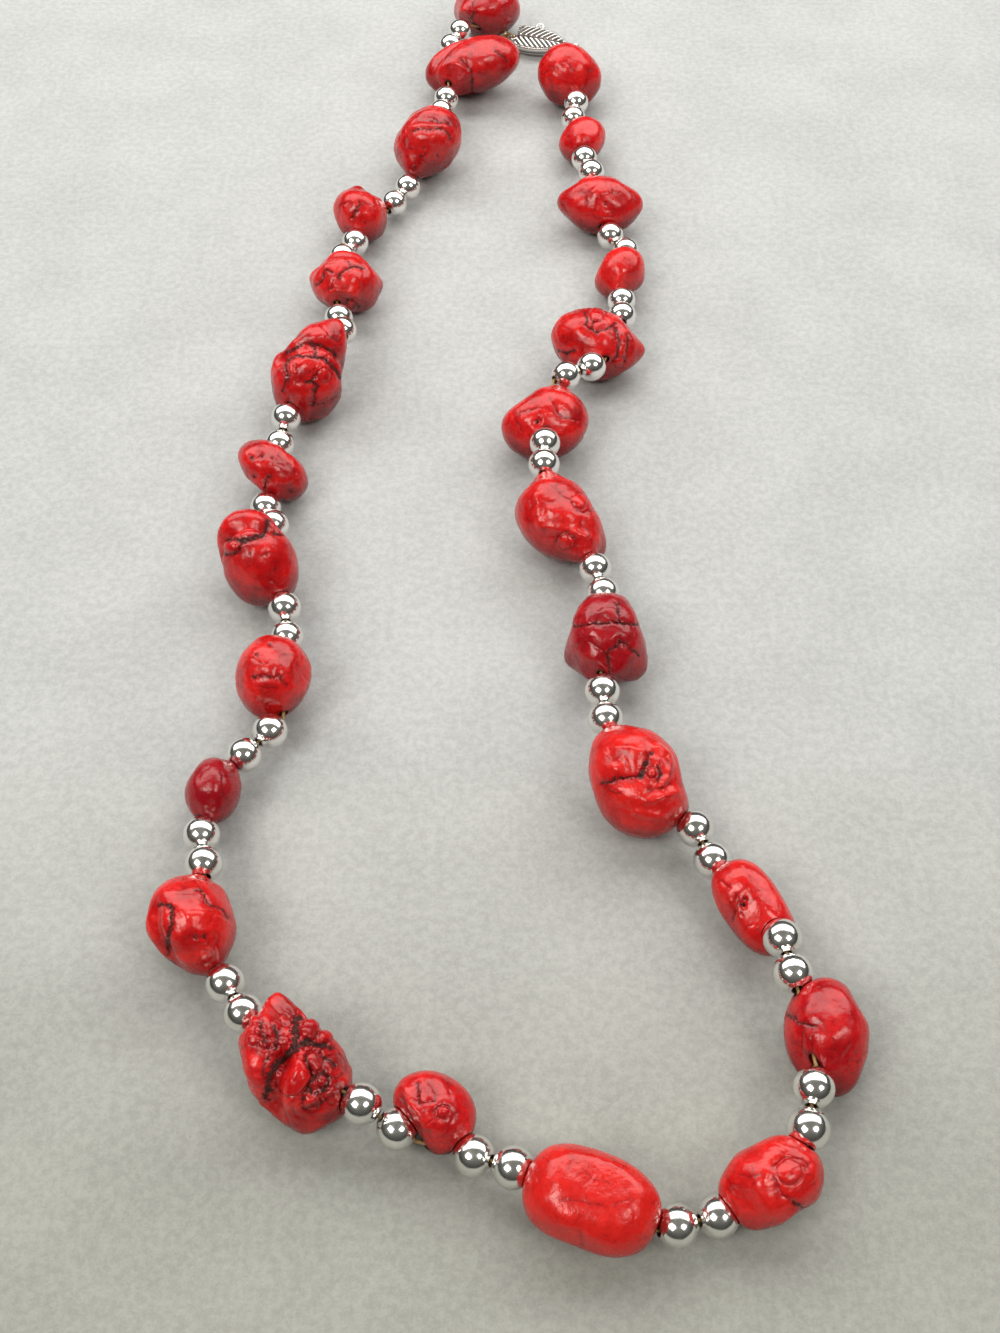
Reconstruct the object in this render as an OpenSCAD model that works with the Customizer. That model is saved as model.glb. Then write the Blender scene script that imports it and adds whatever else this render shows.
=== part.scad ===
// Necklace of twenty-six red stone nuggets with pairs of silver beads between them,
// on one thread that closes with a leaf-shaped silver hook clasp. It lies flat on a table
// as one long open loop. The origin is on the table, in the middle of the loop's box.
// +Y points to the clasp, and the stones are numbered from the clasp down the right side,
// round the bottom and up the left side.

/* [Silver beads] */
// Diameter of a silver bead
bead_d = 5; // [4:0.1:5.2]
// Hole through a silver bead
bead_hole_d = 1.3; // [1.1:0.1:1.6]
// Clear space between two neighbours on the string
bead_gap = 0.15; // [0.1:0.05:0.3]

/* [Thread] */
// Diameter of the thread
thread_d = 0.5; // [0.3:0.05:0.5]

/* [Stones] */
// Hole drilled through a stone
stone_hole_d = 1.3; // [1.1:0.1:1.8]
// Facets round a stone
stone_sides = 22; // [12:2:28]
// Facets along a stone, from hole to hole
stone_rings = 11; // [8:1:14]
// Size of the lumps and creases, 1 as seen, 0 for plain ovals
relief = 1; // [0:0.1:1.2]

/* [Clasp] */
// Length of the clasp's leaf-shaped box
clasp_len = 12.4; // [11:0.1:13]
// Width of the box
clasp_w = 5.8; // [5:0.1:6.5]
// Thickness of the box
clasp_h = 2.6; // [2.4:0.1:3]
// Wall of the box
clasp_wall = 0.4; // [0.3:0.05:0.5]
// Thickness of the flat hook inside the box
hook_t = 0.5; // [0.4:0.05:0.6]
// Height of the raised leaf veins
vein_rise = 0.2; // [0.1:0.05:0.3]

/* [Hidden] */

// Point in front of and above the loop from which the lumps and creases are charted
CHART_EYE = [0, -192, 180];
// Move from the chart's zero to the middle of the loop's box
TO_ORIGIN = [0.056, -0.15, 0];

// One row per stone. x, y: middle of the stone. half_long, half_short, half_deep: its half
// sizes, the first two across the chart's view and the third towards it. roll: turn of the
// long one from level, anticlockwise. square: 2 is an oval, more is boxier. in and out:
// where the string enters and leaves, charted as if all were at height z. in_z and out_z:
// the string's own heights there.
X = 0;
Y = 1;
HALF_LONG = 2;
HALF_SHORT = 3;
HALF_DEEP = 4;
ROLL = 5;
SQUARE = 6;
IN_X = 7;
IN_Y = 8;
OUT_X = 9;
OUT_Y = 10;
MIDDLE_Z = 11;
IN_Z = 12;
OUT_Z = 13;
STONES = [
    // x, y, half_long, half_short, half_deep, roll, square, in_x, in_y, out_x, out_y, z, in_z, out_z
    [14.5, 103.5, 6.8, 6.3, 6, -33, 2, 15.5, 110.5, 16, 97, 6, 6, 5.5],
    [16.4, 82.3, 4.9, 4.3, 5.6, 38, 2, 14.5, 86.5, 16, 78, 5, 4.5, 6],
    [19, 59.3, 7.8, 5.4, 5.6, 0, 2, 18.5, 67.5, 19, 52.5, 5.5, 6.5, 4.5],
    [21.9, 39.6, 5, 4.1, 5.2, 50, 2, 25, 43.5, 22, 34, 4.5, 4, 4.5],
    [16.7, 17.9, 8, 5.9, 6.4, -18, 2, 21.5, 23.5, 18, 13.5, 6, 6, 8],
    [7.4, -1.9, 7.3, 6, 5.6, 11, 2, 9, 8.5, 7.5, -4, 6, 8.5, 8.5],
    [9.3, -24.7, 7.8, 6, 6.8, -36, 2, 7, -14.5, 14, -32, 6, 9, 6],
    [15.5, -48.9, 6.7, 5.8, 6.6, -80, 2.2, 16, -42, 14.5, -55.5, 6, 6, 7],
    [18.8, -74.5, 7.7, 6.3, 6.4, -58, 2.2, 15, -66, 25, -79, 6.5, 7.5, 5],
    [32.7, -92.7, 6.6, 3.9, 4.6, -41, 2.6, 29, -88.5, 35.5, -95, 5.5, 4.5, 7.5],
    [39.8, -110.4, 6.6, 5.2, 5.6, -69, 2, 37, -105, 38, -115, 6, 8.5, 7.5],
    [31.1, -128.4, 6.2, 5, 5.2, 40, 2, 35.5, -125, 27.5, -132, 5.5, 7.5, 2.6],
    [10.4, -130.8, 7.9, 5.4, 5.5, -12, 2.5, 17, -134.5, 4, -128, 6, 4.5, 6],
    [-7.8, -119.7, 5.3, 4.2, 4.6, -39, 2, -5.5, -124.5, -10, -123.5, 4.5, 3, 3.5],
    [-24.6, -115, 8.3, 5.8, 6.4, -64, 2, -18.5, -118.5, -30, -110.5, 7, 7.5, 6],
    [-39.5, -95.9, 6.3, 5.5, 6.6, -76, 2, -35.5, -102, -38.5, -89, 6, 5, 6.5],
    [-39.4, -74.4, 4.6, 3.8, 5.2, 76, 2, -40.5, -79, -37.5, -70.5, 4.5, 5, 4.5],
    [-32.7, -55.6, 6.1, 5.3, 6.4, 71, 2, -30.5, -62.5, -31, -50.5, 5.5, 5, 4.5],
    [-36.9, -33.1, 7.7, 5.8, 7, -68, 2, -32.5, -40, -34.5, -28, 6.5, 6, 5.5],
    [-36.8, -12.6, 6.3, 4.2, 5.6, -43, 2, -38, -18.5, -36.5, -9.5, 5, 3.5, 3.5],
    [-32.1, 8.8, 8.6, 6.5, 6.6, 66, 2, -35, 1, -27, 18, 7.5, 6.5, 8.5],
    [-27.9, 35.5, 6.4, 5.4, 6.8, -9, 2, -29, 27.5, -30, 41, 5.5, 6, 5],
    [-26.5, 56.6, 5.3, 4.6, 6.2, -50, 2, -26, 50.5, -21.5, 58, 5, 4.5, 3],
    [-14.3, 78.2, 7.2, 6.1, 7.8, 44, 2, -16.5, 67, -12.5, 87.5, 6, 4, 6.5],
    [-5.9, 106.9, 10.4, 5.6, 7.6, 15, 2, -10.5, 98, -11.5, 112.5, 6, 6.5, 6],
    [-2.8, 130.4, 7.3, 5.5, 8.5, 0, 2, -7.7, 130.2, -0.4, 127.4, 3, 7.5, 3]
];

// Lumps and dents. clock: where the lump shows on the chart, anticlockwise from the right.
// tilt: 0 at the outline, 90 in the middle of the face. spread: its reach in degrees.
// rise: its height, less than 0 for a dent.
LUMPS = [
    // stone, clock, tilt, spread, rise
    [1, 50, 0, 30, -0.6],
    [2, 150, 0, 30, -0.4],
    [3, 178, 0, 16, 0.7],
    [3, 150, 0, 20, -0.5],
    [3, 208, 0, 25, -0.6],
    [3, 8, 0, 18, 0.4],
    [3, 42, 0, 20, -0.5],
    [4, 165, 0, 25, -0.7],
    [4, 335, 0, 25, 0.5],
    [4, 225, 0, 25, 0.2],
    [5, 357, 0, 12, 0.7],
    [5, 318, 0, 20, -0.8],
    [5, 25, 0, 16, -0.4],
    [6, 138, 0, 28, -1.1],
    [7, 18, 0, 28, -0.9],
    [7, 140, 0, 25, -0.8],
    [7, 325, 0, 15, 1],
    [8, 35, 0, 25, -0.9],
    [8, 158, 0, 26, -1],
    [8, 322, 0, 20, 1.3],
    [8, 214, 0, 18, 0.9],
    [9, 138, 0, 20, 0.7],
    [9, 14, 0, 16, -1.3],
    [9, 338, 0, 15, 0.4],
    [10, 330, 0, 16, 0.6],
    [11, 305, 0, 25, 1.2],
    [11, 60, 0, 22, -0.9],
    [12, 140, 0, 28, -0.9],
    [12, 188, 0, 22, -0.6],
    [12, 268, 0, 20, 0.5],
    [12, 332, 0, 20, -0.8],
    [13, 208, 0, 20, 0.3],
    [14, 215, 5, 34, -1.1],
    [14, 268, 0, 26, 0.65],
    [15, 87, 0, 12, 1.9],
    [15, 119, 0, 18, -1.4],
    [15, 43, 0, 20, -1.8],
    [15, 168, 0, 20, -0.7],
    [15, 265, 0, 22, 0.9],
    [16, 145, 0, 16, -0.8],
    [16, 205, 0, 24, -0.5],
    [16, 232, 0, 12, -0.9],
    [16, 272, 0, 22, 0.4],
    [16, 30, 0, 22, 0.4],
    [17, 120, 0, 30, -0.6],
    [17, 0, 0, 30, 0.2],
    [18, 8, 0, 25, 0.3],
    [18, 232, 0, 20, 0.3],
    [19, 32, 0, 22, -1],
    [19, 345, 0, 22, -0.4],
    [19, 178, 0, 14, -1.1],
    [19, 240, 0, 28, 0.8],
    [20, 218, 0, 25, -1.2],
    [20, 40, 0, 24, -1],
    [20, 165, 0, 20, -0.5],
    [21, 116, 0, 22, -1.8],
    [21, 352, 0, 26, -1.5],
    [21, 53, 0, 14, 1.8],
    [22, 136, 0, 22, -0.9],
    [22, 165, 0, 12, 0.4],
    [22, 30, 0, 24, -1.1],
    [22, 350, 0, 12, 0.5],
    [22, 305, 0, 20, 0.6],
    [23, 50, 0, 20, -0.6],
    [23, 90, 0, 14, 0.4],
    [23, 215, 0, 20, 0.3],
    [23, 312, 0, 22, 0.2],
    [24, 38, 0, 20, 0.3],
    [24, 140, 0, 25, -0.6],
    [25, 200, 0, 20, -0.3],
    [26, 240, 0, 30, 0.3],
    [26, 90, -60, 45, -1]
];

// Creases from one charted place to another. width in degrees, depth in mm.
CREASES = [
    // stone, clock_a, tilt_a, clock_b, tilt_b, width, depth
    [5, 36, 40, 318, 30, 12, 0.5],
    [8, 276, 0, 285, 50, 12, 1],
    [15, 84, 10, 150, 75, 12, 1.5],
    [15, 150, 75, 232, 20, 12, 1.5],
    [16, 146, 40, 232, 25, 12, 0.8],
    [19, 168, 5, 55, 35, 12, 2],
    [21, 152, 25, 4, 10, 12, 1.2],
    [22, 160, 10, 60, 30, 12, 0.6],
    [25, 112, 10, 268, 0, 12, 1.5]
];

stone_count = len(STONES);
pitch = bead_d + bead_gap;

// How a stone rises to its beads: depth of the seat, highest rise, and reach in degrees
NECK_DEPTH = 0.35;
NECK_MOST = 2.6;
NECK_SPREAD = 20;

// Middle of the box's open end, and its tip
CLASP_MOUTH = [4, 124.9, 2.6];
CLASP_TIP = [15.3, 120.8, 3.1];
CLASP_WAY = (CLASP_TIP - CLASP_MOUTH) / norm(CLASP_TIP - CLASP_MOUTH);
// The box lies rolled towards the loop
clasp_roll = 30;
// Wire rings at both ends of the clasp, for the thread
ring_wire_d = 0.5;
ring_r = 0.75;
RING_LEFT = CLASP_MOUTH - CLASP_WAY * 1.1;
RING_RIGHT = CLASP_MOUTH + CLASP_WAY * (clasp_len + 0.6);
// Widest place of the box, measured from its open end
widest_x = 3.2;
post_x = 6.4;
post_d = 0.9;
hook_w = 0.7;
thumb_x = 4.1;
vein_step = 1.25;
vein_turn = 40;
vein_w = 0.45;

// The thread's two ends, each doubled back into a crimp
thread_sides = 6;
crimp_d = 2.1;
crimp_hole_d = 1.4;
crimp_half = sqrt(pow(crimp_d, 2) - pow(crimp_hole_d, 2)) / 2;
crimp_away = 1.7;
// Clearance of the last stone's seat round its crimp
crimp_gap = 0.25;
leg_apart = 0.33;
loop_r = 0.62;

function unit(v) = v / norm(v);
function flat(v) = [v.x, v.y, 0];
function mix(a, b, t) = a + (b - a) * t;
function angle_to(a, b) = 2 * asin(min(1, norm(a - b) / 2));
function bell(angle, spread) = exp(-pow(angle / spread, 2));
function total(list, i = 0) = i >= len(list) ? 0 : list[i] + total(list, i + 1);

// The chart's own axes at a stone: right, up and towards the eye
function chart_axes(row) =
    let (
        toward = unit(CHART_EYE - [row[X], row[Y], row[MIDDLE_Z]]),
        right = unit(cross([0, 0, 1], toward))
    )
    [right, cross(toward, right), toward];
function on_chart(v, axes) = [v * axes[0], v * axes[1], v * axes[2]];
function charted(clock, tilt) = [cos(tilt) * cos(clock), cos(tilt) * sin(clock), sin(tilt)];

function oval_radius(n, row) =
    let (
        along = n.x * cos(row[ROLL]) + n.y * sin(row[ROLL]),
        across = n.y * cos(row[ROLL]) - n.x * sin(row[ROLL]),
        k = row[SQUARE]
    )
    pow(pow(abs(along) / row[HALF_LONG], k) + pow(abs(across) / row[HALF_SHORT], k)
        + pow(abs(n.z) / row[HALF_DEEP], k), -1 / k);
function lump_rise(n, lump) = lump[4] * bell(angle_to(n, charted(lump[1], lump[2])), lump[3]);
function crease_angle(n, a, b) =
    let (
        pole = unit(cross(a, b)),
        foot = unit(n - pole * (n * pole)),
        inside = cross(a, foot) * pole >= 0 && cross(foot, b) * pole >= 0
    )
    inside ? abs(90 - angle_to(n, pole)) : min(angle_to(n, a), angle_to(n, b));
function crease_fall(n, c) =
    c[6] * bell(crease_angle(n, charted(c[1], c[2]), charted(c[3], c[4])), c[5]);
function charted_radius(n, row, lumps, creases) =
    oval_radius(n, row)
    + relief * total([for (l = lumps) lump_rise(n, l)])
    - relief * total([for (c = creases) crease_fall(n, c)]);

// Each stone rises to the bead beside it, so that the bead has a seat
function neck(bead, row, lumps, creases, axes) =
    let (
        v = on_chart(bead - [row[X], row[Y], row[MIDDLE_Z]], axes),
        n = unit(v),
        gap = norm(v) - bead_d / 2 + NECK_DEPTH - charted_radius(n, row, lumps, creases)
    )
    [n, max(0, min(NECK_MOST, gap))];
function stone_radius(n, row, lumps, creases, necks) =
    charted_radius(n, row, lumps, creases)
    + total([for (k = necks) k[1] * bell(angle_to(n, k[0]), NECK_SPREAD)]);

// A charted point moved along the line of sight to another height
function sighted(p, z) = CHART_EYE + (p - CHART_EYE) * (CHART_EYE.z - z) / (CHART_EYE.z - p.z);
function charted_in(i) =
    let (row = STONES[i])
    sighted([row[IN_X], row[IN_Y], row[MIDDLE_Z]], row[IN_Z]);
function charted_out(i) =
    let (row = STONES[i])
    sighted([row[OUT_X], row[OUT_Y], row[MIDDLE_Z]], row[OUT_Z]);

// The two beads after stone i sit in the middle of the way to the next stone, and the
// string bends where it leaves them
function pair_way(i) = unit(charted_in(i + 1) - charted_out(i));
function pair_middle(i) = mix(charted_out(i), charted_in(i + 1), 0.5);
function pair_bead(i, side) = pair_middle(i) + pair_way(i) * (side * pitch / 2);
function hole_in(i) = i == 0 ? charted_in(0) : pair_middle(i - 1) + pair_way(i - 1) * pitch;
function hole_out(i) =
    i == stone_count - 1 ? charted_out(i) : pair_middle(i) - pair_way(i) * pitch;

// Directions in which the thread reaches the clasp's rings
RIGHT_WAY = unit(flat(RING_RIGHT - hole_in(0)));
LEFT_WAY = unit(flat(RING_LEFT - hole_out(stone_count - 1)));

// Rings of points round the string's direction, closed by a point at each end
function stone_points(i) =
    let (
        row = STONES[i],
        lumps = [for (l = LUMPS) if (l[0] == i + 1) l],
        creases = [for (c = CREASES) if (c[0] == i + 1) c],
        axes = chart_axes(row),
        necks = [
            if (i < stone_count - 1) neck(pair_bead(i, -1), row, lumps, creases, axes),
            if (i > 0) neck(pair_bead(i - 1, 1), row, lumps, creases, axes)
        ],
        way = unit(flat(hole_out(i) - hole_in(i))),
        side = cross([0, 0, 1], way),
        directions = [
            way,
            for (ring = [1 : stone_rings - 1], s = [0 : stone_sides - 1])
                let (down = ring * 180 / stone_rings, round = s * 360 / stone_sides)
                way * cos(down) + side * (sin(down) * cos(round))
                    + [0, 0, 1] * (sin(down) * sin(round)),
            -way
        ],
        shape = [for (d = directions) d * stone_radius(on_chart(d, axes), row, lumps, creases, necks)],
        lift = -min([for (p = shape) p.z])
    )
    [for (p = shape) p + [row[X], row[Y], lift]];
function stone_faces() =
    let (
        rings = stone_rings - 1,
        last = rings * stone_sides + 1,
        next = function (s) (s + 1) % stone_sides
    )
    [
        for (s = [0 : stone_sides - 1]) [0, 1 + next(s), 1 + s],
        for (r = [0 : rings - 2], s = [0 : stone_sides - 1])
            let (a = 1 + r * stone_sides, b = a + stone_sides)
            each [[a + s, a + next(s), b + next(s)], [a + s, b + next(s), b + s]],
        for (s = [0 : stone_sides - 1])
            let (a = 1 + (rings - 1) * stone_sides)
            [a + s, a + next(s), last]
    ];

module along(from, to) {
    way = unit(to - from);
    translate(from)
        rotate([0, acos(way.z), atan2(way.y, way.x)])
            children();
}

module stone(i) {
    reach = 6;
    way = unit(hole_out(i) - hole_in(i));
    start = hole_in(i) - way * reach;
    color("crimson")
        difference() {
            polyhedron(stone_points(i), stone_faces(), convexity = 6);
            along(start, hole_out(i))
                cylinder(h = norm(hole_out(i) - hole_in(i)) + 2 * reach, d = stone_hole_d, $fn = 24);
            if (i < stone_count - 1)
                translate(pair_bead(i, -1))
                    sphere(d = bead_d + 2 * bead_gap, $fn = 32);
            if (i > 0)
                translate(pair_bead(i - 1, 1))
                    sphere(d = bead_d + 2 * bead_gap, $fn = 32);
            if (i == stone_count - 1)
                translate(crimp_middle(RING_LEFT, LEFT_WAY))
                    sphere(d = crimp_d + 2 * crimp_gap, $fn = 32);
        }
}

module silver_bead(middle, way) {
    translate(middle)
        along([0, 0, 0], way)
            difference() {
                sphere(d = bead_d, $fn = 40);
                translate([0, 0, -bead_d])
                    cylinder(h = 2 * bead_d, d = bead_hole_d, $fn = 24);
            }
}

module silver_pairs(first, last) {
    color("silver")
        for (i = [first : last], side = [-1, 1])
            silver_bead(pair_bead(i, side), pair_way(i));
}

// The thread goes through an end ring, round its wire and back into a crimp
function ring_wire(ring, way) = ring - way * ring_r;
function crimp_middle(ring, way) = ring_wire(ring, way) - way * crimp_away;
function end_loop(ring, way) =
    let (wire = ring_wire(ring, way), crimp = crimp_middle(ring, way), up = [0, 0, leg_apart])
    [
        crimp - way * (crimp_half - 0.2) - up,
        crimp + way * crimp_half - up,
        for (turn = [-120 : 30 : 120])
            wire + (way * cos(turn) + [0, 0, sin(turn)]) * loop_r,
        crimp + way * crimp_half + up,
        crimp - way * (crimp_half + 0.2) + up
    ];
function reversed(list) = [for (i = [len(list) - 1 : -1 : 0]) list[i]];
function string_points() = [
    each end_loop(RING_RIGHT, RIGHT_WAY),
    for (i = [0 : stone_count - 1])
        each [hole_in(i), hole_out(i)],
    each reversed(end_loop(RING_LEFT, LEFT_WAY))
];
function tube_points(path, d, sides) =
    let (
        last = len(path) - 1,
        way = [
            for (i = [0 : last])
                unit(path[min(i + 1, last)] - path[max(i - 1, 0)])
        ],
        start = unit(cross(way[0], [1, 2, 0])),
        normal = [
            for (i = 0, n = start; i <= last; i = i + 1, n = i > last ? n
                : unit(n - way[i] * (n * way[i]))) n
        ]
    )
    [
        for (i = [0 : last], s = [0 : sides - 1])
            let (a = s * 360 / sides, other = cross(way[i], normal[i]))
            path[i] + (normal[i] * cos(a) + other * sin(a)) * d / 2
    ];
function tube_faces(count, sides) = [
    [for (s = [0 : sides - 1]) s],
    for (i = [0 : count - 2], s = [0 : sides - 1])
        let (a = i * sides + s, b = i * sides + (s + 1) % sides)
        [a, a + sides, b + sides, b],
    [for (s = [sides - 1 : -1 : 0]) (count - 1) * sides + s]
];

module thread() {
    path = string_points();
    color("goldenrod")
        polyhedron(
            tube_points(path, thread_d, thread_sides),
            tube_faces(len(path), thread_sides),
            convexity = 10
        );
}

module crimp(ring, way) {
    middle = crimp_middle(ring, way);
    color("silver")
        along(middle, middle + way)
            difference() {
                sphere(d = crimp_d, $fn = 32);
                cylinder(h = 2 * crimp_d, d = crimp_hole_d, center = true, $fn = 24);
            }
}

module ring() {
    rotate_extrude($fn = 32)
        translate([ring_r, 0])
            circle(d = ring_wire_d, $fn = 16);
}

// Pointed oval: the overlap of two discs
module leaf_outline(inset) {
    half = clasp_len - widest_x;
    arc_r = (pow(half, 2) + pow(clasp_w / 2, 2)) / clasp_w;
    intersection_for (side = [-1, 1])
        translate([widest_x, side * (arc_r - clasp_w / 2)])
            circle(r = arc_r - inset, $fn = 120);
}

// The leaf's outline with domed faces
module leaf_body(inset, rise) {
    half = clasp_len - widest_x;
    drop = clasp_h * 0.3;
    dome_r = (pow(half, 2) + pow(drop, 2)) / (2 * drop);
    middle = clasp_h / 2 + rise - dome_r;
    intersection() {
        translate([0, 0, -clasp_h])
            linear_extrude(2 * clasp_h)
                leaf_outline(inset);
        translate([widest_x, 0, middle])
            sphere(r = dome_r, $fn = 160);
        translate([widest_x, 0, -middle])
            sphere(r = dome_r, $fn = 160);
    }
}

// Midrib with slanted veins on both sides
module leaf_veins() {
    rib_w = 0.5;
    linear_extrude(2 * clasp_h, center = true) {
        translate([0.2, -rib_w / 2])
            square([clasp_len - 1, rib_w]);
        for (step = [0 : 6], side = [-1, 1])
            translate([0.9 + step * vein_step, side * rib_w / 4])
                rotate(side * vein_turn)
                    translate([0, -vein_w / 2])
                        square([clasp_w, vein_w]);
    }
}

module in_clasp() {
    translate(CLASP_MOUTH)
        rotate([0, -asin(CLASP_WAY.z), atan2(CLASP_WAY.y, CLASP_WAY.x)])
            rotate([clasp_roll, 0, 0])
                children();
}

// Hollow box with a raised leaf relief, a post for the hook and a ring at its tip
module clasp_box() {
    color("silver") {
        in_clasp() {
            difference() {
                union() {
                    leaf_body(0, 0);
                    intersection() {
                        leaf_body(0.3, vein_rise);
                        leaf_veins();
                    }
                    translate([thumb_x, clasp_w / 2 + 0.35, 0])
                        ring();
                }
                leaf_body(clasp_wall, -clasp_wall);
                translate([-3 * clasp_len, -clasp_w, -clasp_h])
                    cube([3 * clasp_len, 2 * clasp_w, 2 * clasp_h]);
            }
            translate([post_x, 0, 0])
                cylinder(h = clasp_h - 1.2 * clasp_wall, d = post_d, center = true, $fn = 24);
        }
        translate(RING_RIGHT)
            ring();
    }
}

// A flat hook that goes into the box's mouth and round its post
module hook_outline() {
    bend_r = post_d / 2 + hook_w / 2 + 0.25;
    step_x = 1.6;
    translate([-0.55, -hook_w / 2])
        square([step_x + 0.55 + hook_w, hook_w]);
    translate([step_x, -hook_w / 2])
        square([hook_w, bend_r + hook_w]);
    translate([step_x, bend_r - hook_w / 2])
        square([post_x - step_x, hook_w]);
    translate([post_x, 0])
        difference() {
            circle(r = bend_r + hook_w / 2, $fn = 40);
            circle(r = bend_r - hook_w / 2, $fn = 40);
            translate([-5, -5])
                square([5, 10]);
        }
    translate([post_x - 1.6, -bend_r - hook_w / 2])
        square([1.61, hook_w]);
}

module clasp_hook() {
    color("silver") {
        in_clasp()
            linear_extrude(hook_t, center = true)
                hook_outline();
        translate(RING_LEFT)
            ring();
    }
}

for (i = [0 : stone_count - 1])
    translate(TO_ORIGIN) stone(i);
translate(TO_ORIGIN) silver_pairs(0, 11);  // silver_beads_right
translate(TO_ORIGIN) silver_pairs(12, 24);  // silver_beads_left
translate(TO_ORIGIN) thread();
translate(TO_ORIGIN) crimp(RING_RIGHT, RIGHT_WAY);  // crimp_right
translate(TO_ORIGIN) crimp(RING_LEFT, LEFT_WAY);  // crimp_left
translate(TO_ORIGIN) clasp_box();
translate(TO_ORIGIN) clasp_hook();
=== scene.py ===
"""Looks of a necklace of red stone nuggets, silver beads and a leaf-shaped clasp.

Sizes are in millimetres in the tables and metres in the scene. The stones repeat the outline tables
of the part's source, and add the cracks, pits and pebbles that show on each face.
"""

from functools import cached_property, lru_cache
from math import atan2, cos, pi, radians, sin, sqrt

import bpy
import numpy as np
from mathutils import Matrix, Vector


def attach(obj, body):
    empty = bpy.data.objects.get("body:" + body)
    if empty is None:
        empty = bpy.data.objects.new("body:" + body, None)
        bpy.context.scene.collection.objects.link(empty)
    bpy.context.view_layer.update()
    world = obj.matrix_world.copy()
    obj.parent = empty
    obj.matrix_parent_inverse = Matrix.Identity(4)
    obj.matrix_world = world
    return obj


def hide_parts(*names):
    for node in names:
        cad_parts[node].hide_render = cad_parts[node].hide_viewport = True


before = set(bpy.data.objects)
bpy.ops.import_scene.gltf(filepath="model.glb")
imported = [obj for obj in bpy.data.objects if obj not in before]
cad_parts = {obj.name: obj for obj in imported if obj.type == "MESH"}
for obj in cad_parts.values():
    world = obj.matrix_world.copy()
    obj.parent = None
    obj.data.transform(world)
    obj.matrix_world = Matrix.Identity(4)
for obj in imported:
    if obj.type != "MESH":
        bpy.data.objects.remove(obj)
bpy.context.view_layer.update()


MM = 0.001
SEED = 2026

# Sizes shared with the solids
BEAD_D = 5.0
BEAD_HOLE_D = 1.3
BEAD_GAP = 0.15
THREAD_D = 0.5
STONE_HOLE_D = 1.3
CLASP_LEN = 12.4
CLASP_W = 5.8
CLASP_H = 2.6
CLASP_WALL = 0.4
CLASP_ROLL = 30
WIDEST_X = 3.2
POST_X = 6.4
POST_D = 0.9
THUMB_X = 4.1
THUMB_OUT = 0.35
VEIN_RISE = 0.2
VEIN_STEP = 1.25
VEIN_TURN = 40
RING_WIRE_D = 0.5
RING_R = 0.75
CRIMP_D = 2.1
CRIMP_HOLE_D = 1.4
CRIMP_AWAY = 1.7
CRIMP_GAP = 0.25
MOUTH_TO_RING = 1.1
TIP_TO_RING = 0.6
LEG_APART = 0.33
LEG_END = 0.2
LOOP_R = 0.62
CHART_EYE = np.array([0, -192.0, 180])
TO_ORIGIN = np.array([0.056, -0.15, 0])
CLASP_MOUTH = np.array([4, 124.9, 2.6])
CLASP_TIP = np.array([15.3, 120.8, 3.1])
# A stone's necks to its beads: depth of the seat, highest rise, and reach in degrees
NECK_DEPTH = 0.35
NECK_MOST = 2.6
NECK_SPREAD = 20
# Cuts along each side of a seat's ball
BALL_FINE = 12

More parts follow.
